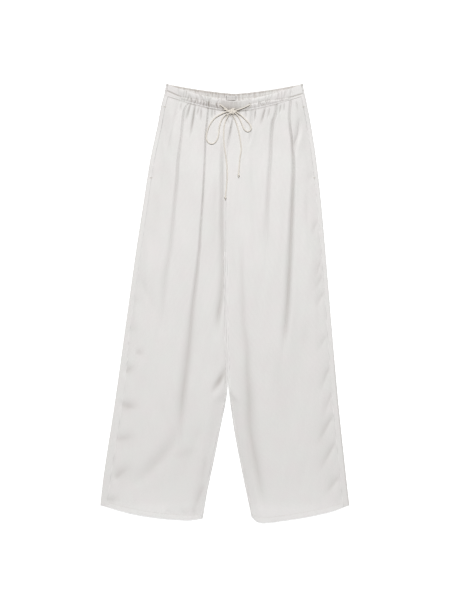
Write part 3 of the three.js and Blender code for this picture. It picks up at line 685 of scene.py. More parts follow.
CUT_WIDE = 250  # the part of a front that is cut to one width from waist to hem
# The stripes lean and bend with the leg: times y, and times y squared.
STRIPE_LEAN = {"right": (0.014, 5.75e-5), "left": (0.02, 4.8e-5)}


def stripe_u(side, x, y):
    """Distance across the cloth as cut: every long fold swallows some of it towards the waist."""
    out = outer_edge[side](y)
    missing = np.minimum(0, np.abs(out - inner_edge(side, y)) - CUT_WIDE)
    folds = [one["path"] for one in LONG_FOLDS[side] if one["swallows"]]
    swallowed = np.zeros_like(x)
    for path in folds:
        xs, ys, _ = zip(*path)
        across = through(ys, xs)(np.clip(y, min(ys), max(ys)))
        swallowed += smooth(-6, 6, (x - across) * SIGN[side]) / len(folds)
    lean, bend = STRIPE_LEAN[side]
    return (x - out) * SIGN[side] - missing * swallowed - (lean * y - bend * y * y)


def panel_grid(side, v, back=False):
    """Height on the plan at the outer edge, and the width of a leg, for each row."""
    x0, y0 = plan(side, np.zeros_like(v), v, back)
    x1, _ = plan(side, np.ones_like(v), v, back)
    return y0, np.abs(x1 - x0)


def pressed_highlight_rows(y):
    """Where the left leg's pressed inner edge lies uppermost, catches the light and gets a painted highlight."""
    return smooth(130, 90, y) * smooth(-235, -190, y)


def front_panel(side):
    v = panel_rows(2.6, 5.8)
    y0, wide = panel_grid(side, v)
    # the fronts part only where the backs have turned up between them
    turned = parted(v, 0.1, 1.1)
    in_pocket = (y0 < POCKET["top"]) & (y0 > POCKET["top"] - POCKET["mouth"])
    slit = np.where(in_pocket, 0.14, SEAM_GAP / 2)
    start = side_inset[side](y0) + slit
    end = wide - lerp(0.15, INSEAM_INSET + SEAM_GAP / 2, turned)
    d = lerp(start, end, np.linspace(0, 1, 240)[None, :])
    wide, vv = np.broadcast_to(wide, d.shape), np.broadcast_to(v, d.shape)
    x, y = plan(side, d / wide, vv)
    z = front_surface(side, d, wide, x, y, vv)
    outside = np.stack([x, y - SEAM_GAP * (vv == 0), z], -1)
    inside = inside_of(outside, wall_at(vv), ..., True)
    for edge in np.s_[:, [0, -1], :2], np.s_[[0, -1], :, :2]:
        inside[edge] = outside[edge]
    # painted shade deepens the creases and puckers, and the painted shade and light of the places and ramps is added
    _, _, deep = front_high(side, d, wide, x, y, vv)
    shade = 0.34 * np.clip(deep / 3.4, 0, 1.3) ** 1.5
    puckers = np.clip(short_creases(x, y, PUCKER_WIDEST) / 2.2, 0, 1.2)
    shade = shade + puckers * lerp(0.2, 0.5, smooth(360, 420, y)) + painted_shade_and_light(x, y)
    # a painted highlight along the left leg's pressed inner edge
    if side == "left":
        shade = shade - 0.05 * pressed_highlight_rows(y) * smooth(3.4, 1.6, wide - INSEAM_INSET - d)
    # painted shadow under the band's seam
    gathered = smooth(-140, -110, x) * smooth(150, 110, x)
    shade = shade + (0.15 + 0.55 * casing_tightness_and_shade(x)) * gathered * bell(vv * LEG_LONG - 0.9, 1.4)
    uv = np.stack([stripe_u(side, x, y), -y], -1)
    return shell(f"front_{side}", outside, inside, uv, shade)


def back_panel(side):
    """From the side seam on top, round the outer edge, along the floor and up the inner edge."""
    v = panel_rows(4.0, 7.0)
    y0, wide = panel_grid(side, v, True)
    turned = parted(v, -0.6, 0.4)
    edge = edge_high(v)
    r_out = (edge - BOTTOM) / 2
    r_in = (inner_high(y0) - BOTTOM) / 2
    # where the legs touch, the inner edge stands up straight
    blunt = lerp(0.14, 1, apart(y0))

    def front_at(d):
        return front_surface(side, d, wide, *plan(side, d / wide, v), v)

    # the sections, each with its places across the leg and its heights
    t = np.linspace(0, 1, 7)
    on_top = lerp(side_inset[side](y0) - SEAM_GAP / 2, r_out + 0.6, t)
    top_z = lerp(front_at(on_top), edge + 0.15, smooth(0.55, 1, t))
    turn = np.pi * np.arange(1, 12) / 12
    outer, outer_z = r_out - r_out * np.sin(turn), BOTTOM + r_out + r_out * np.cos(turn)
    floor = lerp(r_out, wide - 16, np.linspace(0, 1, 44))
    k = np.arange(12)
    turn = np.pi * k / 11
    flat = lerp(wide - 15, wide - 0.06, np.minimum(1, k / 6)) + 0.01 * np.maximum(0, k - 6)
    curled = wide - r_in * (1 - np.sin(turn) ** blunt)
    drop = np.sign(np.cos(turn)) * np.abs(np.cos(turn)) ** blunt
    curled_z = lerp(BOTTOM, BOTTOM + r_in - r_in * drop, turned)
    t = np.array([0.5, 1])
    seam = lerp(wide - r_in, wide - INSEAM_INSET + SEAM_GAP / 2, t)
    seam_z = lerp(BOTTOM, front_at(seam), turned)
    inner = [lerp(flat, curled, turned), lerp(wide - 0.2 + 0.03 * t, seam, turned)]
    d = np.concatenate([on_top, outer, floor, *inner], axis=1)
    z = np.concatenate([top_z, outer_z, BOTTOM + 0 * floor, curled_z, seam_z], axis=1)
    vv = np.broadcast_to(v, d.shape)
    x, y = plan(side, d / wide, vv, True)
    # the back has its own soft folds, which lift it off the floor
    inland = smooth(10, 40, d) * smooth(10, 40, wide - d)
    on_floor = (z < BOTTOM + 0.01) & (d > 6)
    lift = np.maximum(0, 1.1 * wobble(x * SIGN[side], y, 40, 210, 12.5) - 0.1)
    lift += 1.5 * np.maximum(0, wobble(x * SIGN[side], y, 13, 90, 15.5)) * smooth(0.28, 0.0, vv)
    z = z + np.where(on_floor, np.minimum(lift * inland, 1.3), 0)
    outside = np.stack([x, y - SEAM_GAP * (vv == 0), z], -1)
    mid = d.shape[1] // 2
    inside = inside_of(outside, wall_at(vv), np.s_[:, mid], False)
    steps = [np.diff(a, axis=1, prepend=a[:, :1]) for a in (d, z)]
    cut = np.cumsum(np.hypot(*steps), axis=1)
    uv = np.stack([cut - cut[:, mid : mid + 1], -y], -1)
    shade = 0 * z
    if side == "left":
        # painted highlight on its inner edge, which catches the light, and painted shade on its outer edge, which
        # turns away from it
        shade = -0.08 * pressed_highlight_rows(y) * smooth(16, 0, wide - d)
        shade = shade + 0.3 * smooth(3.8, 1.4, d) * smooth(-80, -200, y)
    return shell(f"back_{side}", outside, inside, uv, shade)


# The waistband
BAND_TALL = {"front_centre": 25.3, "front_side": 27.5, "back_centre": 28, "back_side": 29}
BAND_SEAM = 4.6  # from the band's outer end to its side seam
BAND_BACK_TOP = 3.4  # inside of the back band
BAND_FRONT_TOP = 7.2  # outside of the front band
SMOOTH_SIDE = 0.8  # share of the half waist that is gathered
SMOOTH_CENTRE = 0.19  # and the part at the front's centre that isn't
MID_STITCH = 0.56  # the back band is sewn along its length here
BAND_LIFT = 3.6  # the front band's top edge stands up this much more than its seam
USUAL_TALL = 26  # of a band, to turn its shares into millimetres
SEAM_RIDGE = 0.1  # share of the front band that the ridge over its lower seam takes up


def band_plan(s, w, back):
    """The plan of a band at share s of the half waist and w of its height."""
    low = BACK_DIP if back else FRONT_DIP
    centre = BAND_TALL["back_centre" if back else "front_centre"]
    end = BAND_TALL["back_side" if back else "front_side"]
    bend = np.abs(s) ** DIP_POWER
    x = WAIST_X + s * lerp(WAIST_HALF, WAIST_TOP_HALF, w)
    return x, WAIST_END_Y - low * (1 - bend) + w * lerp(centre, end, bend)


def gathers(x, w, seed, pitch=7.4):
    """Uneven gathers across the band: rounded tucks, sharp valleys and fine wrinkles between."""
    share = np.abs(waist_share(x))
    there = smooth(SMOOTH_SIDE + 0.08, SMOOTH_SIDE - 0.02, share)
    up = w * USUAL_TALL
    lean = x + 4.0 * wobble(x, up, 26, 24, seed + 20)
    big = wobble(lean, up, pitch, 55, seed)
    small = wobble(lean, up, pitch * 0.42, 18, seed + 7)
    tucks = np.minimum(1, 3.0 * np.abs(big) ** 0.75 - 1)
    return there * (0.85 * tucks + 0.3 * small)


# How tight the gathers of the lower channel are along the waist, and how much painted shade they get.
CASING_TIGHTNESS_AND_SHADE = rows(
    "x tone",
    (-150, 0.1), (-98, 0.2), (-78, 0.8), (-62, 0.6), (-44, 1.0), (-14, 1.0), (60, 0.45),
    (92, 0.5), (108, 0.35), (134, 0.4), (152, 0.1), (200, 0.1),
)
casing_tightness_and_shade = column(CASING_TIGHTNESS_AND_SHADE, "x", "tone")

# Where the band is sewn along its length: the share of its height, lower at the plain sides.
MID_LINE = rows(
    "x share",
    (-150, 0.5), (-130, 0.45), (-106, 0.36), (-84, 0.46), (-60, 0.55), (90, 0.56), (120, 0.42),
    (152, 0.27), (200, 0.22),
)
mid_line = column(MID_LINE, "x", "share")


def rim_painted_shade(x):
    """Painted shade of the upper channel and the top edge, deeper on the wearer's right."""
    return lerp(1.0, 0.6, smooth(10, 80, x)) * smooth(-150, -110, x)


def front_band():
    ends = [0, 0.02, 0.045, 0.07, 0.095], [0.96, 0.98, 1]
    w = np.concatenate([ends[0], np.linspace(0.13, 0.93, 27), ends[1]])[:, None]
    end = BAND_SEAM + SEAM_GAP / 2
    d = np.linspace(end, 2 * WAIST_HALF - end, 520)[None, :]
    ww = w + 0 * d
    x, y = band_plan((d - WAIST_HALF) / WAIST_HALF + 0 * w, ww, False)
    up = ww * BAND_TALL["front_centre"]
    share = np.abs(waist_share(x))
    centre = smooth(SMOOTH_CENTRE - 0.03, SMOOTH_CENTRE + 0.04, share)
    gathered = smooth(SMOOTH_SIDE + 0.03, SMOOTH_SIDE - 0.08, share)
    # two channels, over and under the line that the band is sewn along
    mid = mid_line(x)
    above = ww > mid
    upper = np.clip((ww - mid) / (1 - mid), 0, 1)
    lower = np.clip((ww - SEAM_RIDGE) / (mid - SEAM_RIDGE), 0, 1)
    roll = np.sin(np.pi * np.clip(upper * 0.92 + 0.06, 0, 1)) ** 0.55
    casing = np.sin(np.pi * lower) ** 0.7
    tight = casing_tightness_and_shade(x)
    puff = np.where(above, lerp(0.08, 0.5, gathered) * roll, lerp(0.08, 0.6, gathered) * casing)
    tall = BAND_FRONT_TOP - 0.6 + BAND_LIFT * ww * lerp(0.02, 0.34, gathered)
    held = 0.45 + 0.55 * np.where(above, np.sin(np.pi * upper), np.sin(np.pi * lower))
    folds = gathers(x, ww, 31.0)
    waves = lerp(0.5 + 1.0 * tight, 0.42, smooth(0, 0.2, upper)) * folds * held
    line = bell((ww - mid) * USUAL_TALL, 1.5)
    broken = np.clip(0.2 + 0.9 * uneven(x, 11, 41.0), 0, 1)
    groove = lerp(0.35, 0.7 * broken, gathered) * line
    flat_patch = 0.9 * np.sin(np.pi * ww) ** 0.8 + 1.2 * ww + 0.3 * wobble(x, y, 2.6, 30, 3.0)
    z = tall + lerp(flat_patch, puff + waves - groove, centre)
    # the seam below: a narrow turned edge that catches the light, with a shadow under it that is partly painted on the
    # fronts
    ruffle = 0.5 * uneven(x, 2.4, 14.0) * gathered
    ridge = lerp(0.1, 0.6, np.clip(1.4 * tight, 0, 1)) * bell(up - 1.5, 0.8)
    z += (ruffle - 0.35) * bell(up, 0.6) + ridge
    z = lerp(z, BAND_FRONT_TOP - 0.5, smooth(0.975, 0.995, share))
    z = np.maximum(z, BAND_FRONT_TOP - 2.0)
    inner_z = np.minimum(np.maximum(BAND_BACK_TOP + 0.35, z - 3.6), z - 0.8)
    # painted shade: in the gathers, then on the flat patch, on the plain sides and in their seams and along the top
    # edge, with a painted highlight on the turned edge over the seam
    valley = np.clip(-0.02 - folds, 0, 0.85) * gathered
    lit_edge = bell(up - 1.3, 1.1)
    lower_valley_shade = (0.26 + 0.8 * tight) * (1 - 0.8 * lit_edge)
    shade = valley * np.where(above, 0.5 * rim_painted_shade(x), lower_valley_shade) * centre
    channel = (0.08 + 0.26 * tight) * (1 - lit_edge) * lerp(1, 0.55, smooth(50, 75, x))
    shade = shade + np.where(above, 0.12 * rim_painted_shade(x), channel) * gathered * centre
    # painted highlight on the turned edge over the lower seam
    shade = shade - 0.3 * tight * lit_edge
    # painted shade on the flat patch, deeper at its bottom, with a faint random tone
    patch = lerp(0.85, 0.5, smooth(0.1, 0.62, ww)) * lerp(1, 0.6, smooth(22, 45, x))
    patch = patch * smooth(1.0, 0.93, ww) + 0.12 * wobble(x, y, 1.6, 30, 71.0)
    shade = lerp(patch, shade, centre)
    plain = np.where(x < 0, 0.14, 0.05)
    seams = (0.75 * line + 0.4 * bell(up - 0.8, 1.0)) * smooth(0.995, 0.93, share)
    shade = shade + (1 - gathered) * (plain + seams)
    # a painted dark line along the gathered top edge
    top_edge_line_shade = bell((1 - ww) * USUAL_TALL, 0.7) * smooth(-0.1, 0.4, uneven(x, 12, 51.0))
    shade = np.clip(shade + 0.3 * gathered * top_edge_line_shade, -0.15, 1)
    outside, inside = np.stack([x, y, z], -1), np.stack([x, y, inner_z], -1)
    return shell("band_front", outside, inside, np.stack([x * 1.25, -y], -1), shade)


def back_band():
    """Flat on the floor, with ends that roll up over the sides to the front."""
    w = np.concatenate([[0, 0.03], np.linspace(0.08, 0.8, 15), np.linspace(0.83, 0.98, 7), [1]])
    w = w[:, None]
    r = (BAND_FRONT_TOP - 0.4 - BOTTOM) / 2
    turn = np.pi * np.arange(1, 10) / 10
    end_d = np.linspace(BAND_SEAM - SEAM_GAP / 2, r + 0.5, 5)
    end_d = np.concatenate([end_d, r - r * np.sin(turn)])
    end_z = np.concatenate([[BAND_FRONT_TOP - 0.5] * 5, BOTTOM + r + r * np.cos(turn)])
    wide = 2 * WAIST_HALF
    flat = np.linspace(r, wide - r, 300)
    d = np.concatenate([end_d, flat, wide - end_d[::-1]])[None, :]
    z0 = np.concatenate([end_z, BOTTOM + 0 * flat, end_z[::-1]])[None, :]
    is_flat = (z0 < BOTTOM + 0.01) & (d > r)
    ww = w + 0 * d
    x, y = band_plan((d - WAIST_HALF) / WAIST_HALF + 0 * w, ww, True)
    upper = np.clip((ww - MID_STITCH) / (1 - MID_STITCH), 0, 1)
    lower = np.clip(ww / MID_STITCH, 0, 1)
    puff = np.where(ww > MID_STITCH, np.sin(np.pi * upper), np.sin(np.pi * lower)) ** 0.6
    groove = 0.5 * bell((ww - MID_STITCH) * USUAL_TALL, 1.5)
    folds = gathers(x, ww, 57.0, pitch=5.8)
    waves = folds * (0.4 + 0.6 * puff) * smooth(1.0, 0.96, ww)
    lift = np.where(is_flat, np.maximum(0, 0.35 - 0.5 * waves), groove * -0.6)
    level = np.stack([x, y, z0 + 0 * ww], -1)
    outside = np.stack([x, y, z0 + lift], -1)
    middle_top = np.s_[0, d.shape[1] // 2]
    inner = inside_of(level, BAND_BACK_TOP - BOTTOM - 0.6, middle_top, False)
    high = BAND_BACK_TOP - 0.1 + 0.12 * puff - 0.5 * groove + 0.6 * waves
    high = high - 0.2 * smooth(0.96, 1.0, ww)
    inner_z = np.where(is_flat & (d > r + 3) & (d < wide - r - 3), high, inner[..., 2])
    # under the front band it stays low
    hidden = is_flat & (ww < 0.55)
    inner[..., 2] = np.where(hidden, np.minimum(inner_z, BAND_BACK_TOP), inner_z)
    # painted shade in its gathers, along its rim and top edge, and on its plain ends and the line they are sewn along
    tone = rim_painted_shade(x)
    valley = np.clip(-0.02 - folds, 0, 0.85) * smooth(1.0, 0.9, ww)
    shade = 0.1 * tone + (0.3 + 0.5 * tone) * valley
    top_edge_shade = (0.3 + 0.32 * tone) * (1 + 0.3 * uneven(x, 14, 61.0))
    from_top = (1 - ww) * BAND_TALL["back_centre"]
    shade = shade + top_edge_shade * smooth(6.0, 4.2, from_top) * smooth(0.3, 2.2, from_top)
    shade = shade + 0.2 * smooth(-80, -50, x) * smooth(20, -20, x) * smooth(11, 6, from_top)
    ends = 1 - smooth(SMOOTH_SIDE + 0.03, SMOOTH_SIDE - 0.1, np.abs(waist_share(x)))
    line = bell((ww - 0.46) * USUAL_TALL, 1.2)
    shade = np.clip(shade + ends * (np.where(x < 0, 0.1, 0.0) + 0.4 * line), 0, 0.8)
    return shell("band_back", outside, inner, np.stack([x * 1.25, -y], -1), shade)


# Cords: x, y and how far each is lifted off the cloth there.
ROUTES = {
    "drawstring_right_lead": [
        (-11.6, 475.0, 0.2), (-8, 472.4, 0.3), (-1, 467.6, 0.6), (6.2, 463.0, 1.6),
    ],
    "drawstring_left_lead": [
        (59.9, 474.8, 0.2), (56, 472.6, 0.3), (44, 467.0, 0.3), (29.0, 461.6, 1.5),
    ],
    "drawstring_right_loop": [
        (5.6, 458.4, 2.6), (-6, 453.6, 1.2), (-23.6, 442.9, 0.3), (-35.6, 427.1, 0), (-42, 411, 0),
        (-44.5, 396.5, 0), (-40.2, 385.4, 0), (-31, 381, 0), (-21.9, 386, 0), (-15.4, 399.2, 0),
        (-13, 420, 0), (-7.6, 438.5, 0.3), (1.0, 450.0, 1.2), (6.0, 453.6, 2.0),
    ],
    "drawstring_left_loop": [
        (28.6, 457.4, 2.6), (40, 448.4, 1.2), (51, 438, 0.3), (59.9, 427.6, 0), (63.4, 420.0, 0),
        (60.8, 413.0, 0), (53.9, 410.6, 0), (46.4, 416.4, 0), (40.4, 430.4, 0), (34.4, 443.4, 0.4),
        (28.0, 451.4, 1.6),
    ],
    "drawstring_right_tail": [
        (9.0, 449.4, 1.6), (4.2, 441.6, 0.6), (-0.6, 428, 0), (-2.4, 411, 0), (-1.6, 381, 0),
        (2.0, 355, 0), (4.9, 331.6, 0), (6.1, 305.6, 0), (4.4, 281.6, 0), (1.6, 255.4, 0.8),
    ],
    "drawstring_left_tail": [
        (20.4, 448.8, 1.6), (24.4, 439.6, 0.6), (29.4, 426, 0), (34.4, 406, 0), (38.2, 383.2, 0),
        (39.4, 367, 0), (36.4, 347, 0), (34.2, 321.5, 0), (33.3, 309.0, 0.8),
    ],
}
BRIDGE = 3.5  # a cord lies on the highest cloth within this distance
CORD_GAP = 0.05  # and this far over it
CORD_STEP = 0.7  # between the rings of its mesh
SHORTEST_CORD = 0.03  # metres; a shorter stretch isn't declared as a cord


def face_of(pieces, below=False):
    """The height of the cloth's face at a point of the floor plan, seen from above or below."""
    trees = []
    for mesh in [piece.data for piece in pieces]:
        sides = [p.vertices for p in mesh.polygons]
        trees.append(BVHTree.FromPolygons([p.co for p in mesh.vertices], sides))
    start, way = (-0.01, Vector((0, 0, 1))) if below else (0.05, Vector((0, 0, -1)))

    def at(x, y):
        hits = [tree.ray_cast(Vector((x * MM, y * MM, start)), way)[0] for tree in trees]
        heights = [hit.z / MM for hit in hits if hit]
        return (min if below else max)(heights, default=0.0)

    return at


def under(x, y, reach=BRIDGE):
    """The height of the highest cloth around a point."""
    ring = ((0, 0), (1, 0), (-1, 0), (0, 1), (0, -1), (0.5, 0.5), (-0.5, 0.5))
    return max(top_face(x + dx * reach, y + dy * reach) for dx, dy in ring)


def on_cloth(route):
    """The route's points at the height where the cord lies, smoothed as a limp cord would be."""
    flat = smooth_path(route, 2.5)
    z = np.array([under(x, y) for x, y, _ in flat])
    for _ in range(3):
        z = np.maximum(z, np.convolve(np.pad(z, 2, mode="edge"), np.ones(5) / 5, mode="valid"))
    return np.stack([flat[:, 0], flat[:, 1], z + CORD_R + CORD_GAP + np.maximum(0, flat[:, 2])], 1)


def smooth_path(points, step):
    """Even steps along a smooth line through the points."""
    p = np.asarray(points, float)
    t = np.concatenate([[0], np.cumsum(np.sqrt(np.linalg.norm(np.diff(p, axis=0), axis=1)))])
    fine = np.linspace(0, t[-1], 60 * len(p))
    line = np.stack([through(t, p[:, i])(fine) for i in range(3)], 1)
    far = travelled(line)
    even = np.linspace(0, far[-1], max(4, int(far[-1] / step)))
    return np.stack([np.interp(even, far, line[:, i]) for i in range(3)], 1)


def tube(path, radius, sides, relief):
    """Points and faces of a round tube; relief gives its ridges by turn and distance."""
    tangent = np.gradient(path, axis=0)
    tangent /= np.linalg.norm(tangent, axis=1, keepdims=True)
    right = np.cross(tangent, np.tile([0.0, 0.0, 1.0], (len(path), 1)))
    right /= np.maximum(np.linalg.norm(right, axis=1, keepdims=True), 1e-6)
    over = np.cross(right, tangent)
    a = (2 * math.pi * np.arange(sides) / sides)[None, :]
    r = radius * (1 + relief(a, travelled(path)[:, None])) + 0 * a
    way = np.cos(a)[..., None] * right[:, None, :] + np.sin(a)[..., None] * over[:, None, :]
    points = path[:, None, :] + r[..., None] * way
    n = len(path)
    grid = np.arange(n * sides).reshape(n, sides)
    nxt = np.roll(grid, -1, axis=1)
    quads = np.stack([grid[:-1], nxt[:-1], nxt[1:], grid[1:]], -1).reshape(-1, 4)
    faces = [q[::-1] for q in quads.tolist()] + [grid[0].tolist()] + [grid[-1][::-1].tolist()]
    return points.reshape(-1, 3), faces


def braid(a, far):
    """The strands of a braided cord cross in fine ridges."""
    return 0.05 * (np.cos(3 * a + far * 1.5) * np.cos(3 * a - far * 1.5) - 1)


def wound(a, far):
    """Thread wound closely round, with each turn a ridge."""
    return 0.14 * (np.cos(far * 2 * math.pi / 0.8) - 1) + 0 * a


def plain(a, far):
    return 0


def thinning(a, far):
    return -0.1 * far


def tube_piece(name, path, radius=CORD_R, sides=14, relief=braid, sharp=70):
    return new_mesh(name, *tube(path, radius, sides, relief), sharp=sharp)


# How far a stitch stands off the cloth along its length, on top and under it.
STITCH_RISE = {1: (-0.15, 0.1, 0.16, 0.1, -0.15), -1: (0.15, 0.02, -0.02, 0.02, 0.15)}


def stitches(name, lines, face, long=2.8, gap=0.7, radius=0.24, way=1):
    """Sewn stitches in one mesh, whose ends dip into the cloth. Way is -1 for those under it."""
    points, faces = [], []
    for row in lines:
        line = np.array([(x, y, face(x, y)) for x, y in row])
        line[:, 2] = np.median([np.roll(line[:, 2], k) for k in (-1, 0, 1)], axis=0)
        far = travelled(line)
        for i in range(int(far[-1] / (long + gap))):
            at = i * (long + gap) + np.linspace(0, long, 5)
            path = np.stack([np.interp(at, far, line[:, k]) for k in range(3)], 1)
            path[:, 2] += STITCH_RISE[way]
            part, sides = tube(path, radius, 6, plain)
            faces += [[k + len(points) for k in f] for f in sides]
            points += part.tolist()
    return new_mesh(name, points, faces, sharp=80)


def hem_row(side, back):
    """The line that the hem is sewn down on."""
    v = 1 - HEM_TURN / LEG_LONG
    x0, y0 = plan(side, 0.0, v, back)
    wide = abs(plan(side, 1.0, v, back)[0] - x0)
    first = 5 if back else side_inset[side](y0) + 3
    share = np.linspace(first / wide, 1 - (INSEAM_INSET + 3) / wide, 90)
    return np.stack(plan(side, share, v, back), 1)


def band_row(start, end, back):
    """The line that a band is sewn along, between two shares of the half waist."""
    share = np.linspace(start, end, 160)
    x, _ = band_plan(share, MID_STITCH, back)
    return np.stack(band_plan(share, MID_STITCH if back else mid_line(x), back), 1)


def tack_rows(side, y):
    """A bar tack across the side seam at an end of the pocket's mouth."""
    x = outer_edge[side](y) + SIGN[side] * side_inset[side](y)
    return [[(x + a, y + k * 0.5) for a in (-3.5, 0, 3.5)] for k in range(-2, 3)]


# A blank woven label, sewn down inside the back of the waist.
LABEL = {"x": 15.4, "y": 491.4, "wide": 25, "tall": 12, "sag": 0.4}


def waist_label(face):
    lines = np.linspace(-0.5, 0.5, 15)[:, None]
    cols = np.linspace(-0.5, 0.5, 29)[None, :]
    x = LABEL["x"] + LABEL["wide"] * cols + 0 * lines
    y = LABEL["y"] + LABEL["tall"] * lines + 0 * cols - LABEL["sag"] * np.cos(math.pi * cols)
    on = np.array([[face(a, b) for a, b in zip(ra, rb)] for ra, rb in zip(x, y)])
    edge_off = [(0.5 - np.abs(lines)) * LABEL["tall"], (0.5 - np.abs(cols)) * LABEL["wide"]]
    near_edge = np.minimum(*edge_off)
    z = lerp(np.percentile(on, 80), on, 0.35) + 0.3 + 0.3 * smooth(0, 2.2, near_edge)
    outside = np.stack([x, y, z], -1)
    inside = outside - np.array([0, 0, 0.35])
    # painted shade along its folded edges, with a faint random tone
    shade = np.clip(0.35 * bell(near_edge, 0.8) + 0.04 * wobble(x, y, 2, 9, 5.0), 0, 1)
    return shell("label", outside, inside, np.stack([x, -y], -1), shade)


def label_rows():
    """Down one side of the label, along its foot and up the other side."""
    wide, tall = LABEL["wide"] / 2 - 0.9, LABEL["tall"] / 2 - 0.9
    side = np.linspace(tall, -tall, 12)
    foot = np.linspace(-wide, wide, 24)
    lines = [[(-wide, t) for t in side], [(t, -tall) for t in foot], [(wide, t) for t in side]]

    def placed(a, b):
        sag = LABEL["sag"] * math.cos(math.pi * a / LABEL["wide"])
        return LABEL["x"] + a, LABEL["y"] + b - sag

    return [[placed(a, b) for a, b in line] for line in lines]


BUTTONHOLE = {"right": -11.6, "left": 59.9, "y": 473.5, "half_straight": 3.8, "turn": 1.9}


def buttonhole(side, face):
    """Thread wound closely round the slit that the drawstring comes out of."""
    ring = []
    for k in range(49):
        a = 2 * math.pi * k / 48
        ends = BUTTONHOLE["half_straight"] * np.clip(4 * math.sin(a), -1, 1)
        x = BUTTONHOLE[side] + BUTTONHOLE["turn"] * math.cos(a)
        y = BUTTONHOLE["y"] + ends + BUTTONHOLE["turn"] * math.sin(a)
        ring.append((x, y, face(x, y) + 0.25))
    return tube_piece(f"hole_{side}", smooth_path(ring, 0.2), 0.75, 10, wound, 80)


def ball(name, centre, size, rough, seed, turns=26):
    """A soft lump, such as a knot pulled tight."""
    points, faces = [], []
    rings = turns // 2
    for i in range(rings + 1):
        lat = math.pi * i / rings
        for j in range(turns):
            lon = 2 * math.pi * j / turns
            around = math.sin(lat) * math.cos(lon), math.sin(lat) * math.sin(lon)
            p = Vector((*around, math.cos(lat)))
            r = 1 + rough * noise.noise(p * 1.6 + Vector((seed, 0, 0)))
            points.append([centre[k] + p[k] * r * size[k] / 2 for k in range(3)])
    for i in range(rings):
        for j in range(turns):
            a, b, k = i * turns, (i + 1) * turns, (j + 1) % turns
            faces.append([a + j, b + j, b + k, a + k])
    return new_mesh(name, points, faces, sharp=80)


# The strands that show in the bow's knot, with their heights over the cloth: two that cross, one
# across them and two wrapped round them.
KNOT_STRANDS = [
    [(-2.5, 464.6, 2.0), (6, 461.2, 3.6), (14, 458.8, 4.8), (22, 455.6, 4.6), (29.5, 451.6, 2.4)],
    [(35.5, 464.2, 2.0), (28, 461.2, 3.2), (20, 458.0, 3.8), (12, 453.8, 3.4), (5.5, 449.6, 2.0)],
    [(1.0, 456.6, 1.8), (8, 457.8, 3.4), (17, 458.6, 4.1), (26, 457.8, 3.4), (33.0, 454.6, 1.8)],
    [(13.6, 451.2, 2.0), (11.6, 455, 4.6), (13, 460, 6.1), (17.4, 463.4, 4.6), (20.4, 465.4, 2.2)],
    [(20.8, 450.6, 2), (18.6, 454.6, 5), (17.8, 459.2, 6.5), (20.6, 462.6, 5), (23.6, 465, 2.4)],
]


def joined(parts):
    """Joins the parts into the first of them."""
    chosen = {"active_object": parts[0], "selected_editable_objects": parts}
    with bpy.context.temp_override(scene=bpy.context.scene, **chosen):
        bpy.ops.object.join()
    return parts[0]


def end_knot(side):
    """A knot at the end of a tail: two turns of the cord over a core, and a short frayed end."""
    x, y, z = on_cloth(ROUTES[f"drawstring_{side}_tail"])[-1]
    y, z = y - 3.0, z + 0.9
    parts = [ball(f"tip_{side}", (x, y, z), (4.0, 5.8, 4.0), rough=0.18, seed=5)]
    turn = np.linspace(0, 2 * math.pi, 40)
    for i, lean in enumerate((-1.5, 1.3)):
        round_y = y + lean * np.cos(turn + i) + 0.3 * i
        ring = np.stack([x + 1.6 * np.cos(turn), round_y, z + 1.6 * np.sin(turn)], 1)
        parts.append(tube_piece(f"turn_{i}", ring, 0.95, 10, braid, 80))
    for k in range(7):
        a = 2.4 * k
        start = (x + 0.6 * math.cos(a), y - 2.4, z + 0.6 * math.sin(a))
        spread = (0.7 + 0.2 * (k % 3)) * math.cos(a)
        end = (x + spread, y - 4.8 - 0.4 * (k % 4), z - 0.7 + 0.8 * math.sin(a))
        half_way = [(p + q) / 2 + 0.1 for p, q in zip(start, end)]
        strand = smooth_path([start, half_way, end], 0.5)
        parts.append(tube_piece(f"fray_{k}", strand, 0.42, 6, thinning, 80))
    return joined(parts)


def bow_knot():
    """The knot: cord strands over a soft core."""
    x, y = 17.2, 457.6
    base = under(x, y, 5)
    parts = [ball("knot", (x, y, base + 3.2), (19, 11, 6.4), rough=0.25, seed=3)]
    for i, strand in enumerate(KNOT_STRANDS):
        lifted = [(a, b, base + c) for a, b, c in strand]
        parts.append(tube_piece(f"strand_{i}", smooth_path(lifted, CORD_STEP)))
    return joined(parts)


# Materials
def add(mat, kind, inputs, **settings):
    """The outputs of a new shader node."""
    node = mat.node_tree.nodes.new(f"ShaderNode{kind}")
    for name, value in settings.items():
        setattr(node, name, value)
    fill(mat, node, inputs)
    return node.outputs


def fill(mat, node, inputs):
    """Sets inputs, and links those that are another node's output."""
    for name, value in inputs.items():
        if isinstance(value, bpy.types.NodeSocket):
            mat.node_tree.links.new(value, node.inputs[name])
        else:
            node.inputs[name].default_value = value


def blend(mat, share, a, b, **settings):
    """The colour between a and b at a share."""
    inputs = {"Factor": share, "A": a, "B": b}
    return add(mat, "Mix", inputs, data_type="RGBA", **settings)["Result"]


def noise_of(mat, scale, detail):
    """Noise over the piece's own place."""
    place = add(mat, "TexCoord", {})["Object"]
    return add(mat, "TexNoise", {"Vector": place, "Scale": scale, "Detail": detail})["Fac"]


def material(name, **inputs):
    """A material whose shader's inputs are named with _ for a space."""
    mat = bpy.data.materials.new(name)
    mat.use_nodes = True
    named = {key.replace("_", " "): value for key, value in inputs.items()}
    fill(mat, mat.node_tree.nodes["Principled BSDF"], named)
    return mat


def surface(mat, colour, height, strength):
    """Gives a material its colour and its bumps."""
    bumps = {"Strength": strength, "Distance": 0.0003, "Height": height}
    normal = add(mat, "Bump", bumps)["Normal"]
    fill(mat, mat.node_tree.nodes["Principled BSDF"], {"Base Color": colour, "Normal": normal})
    return mat


STRIPE = 2.034  # from one stripe of the satin to the next
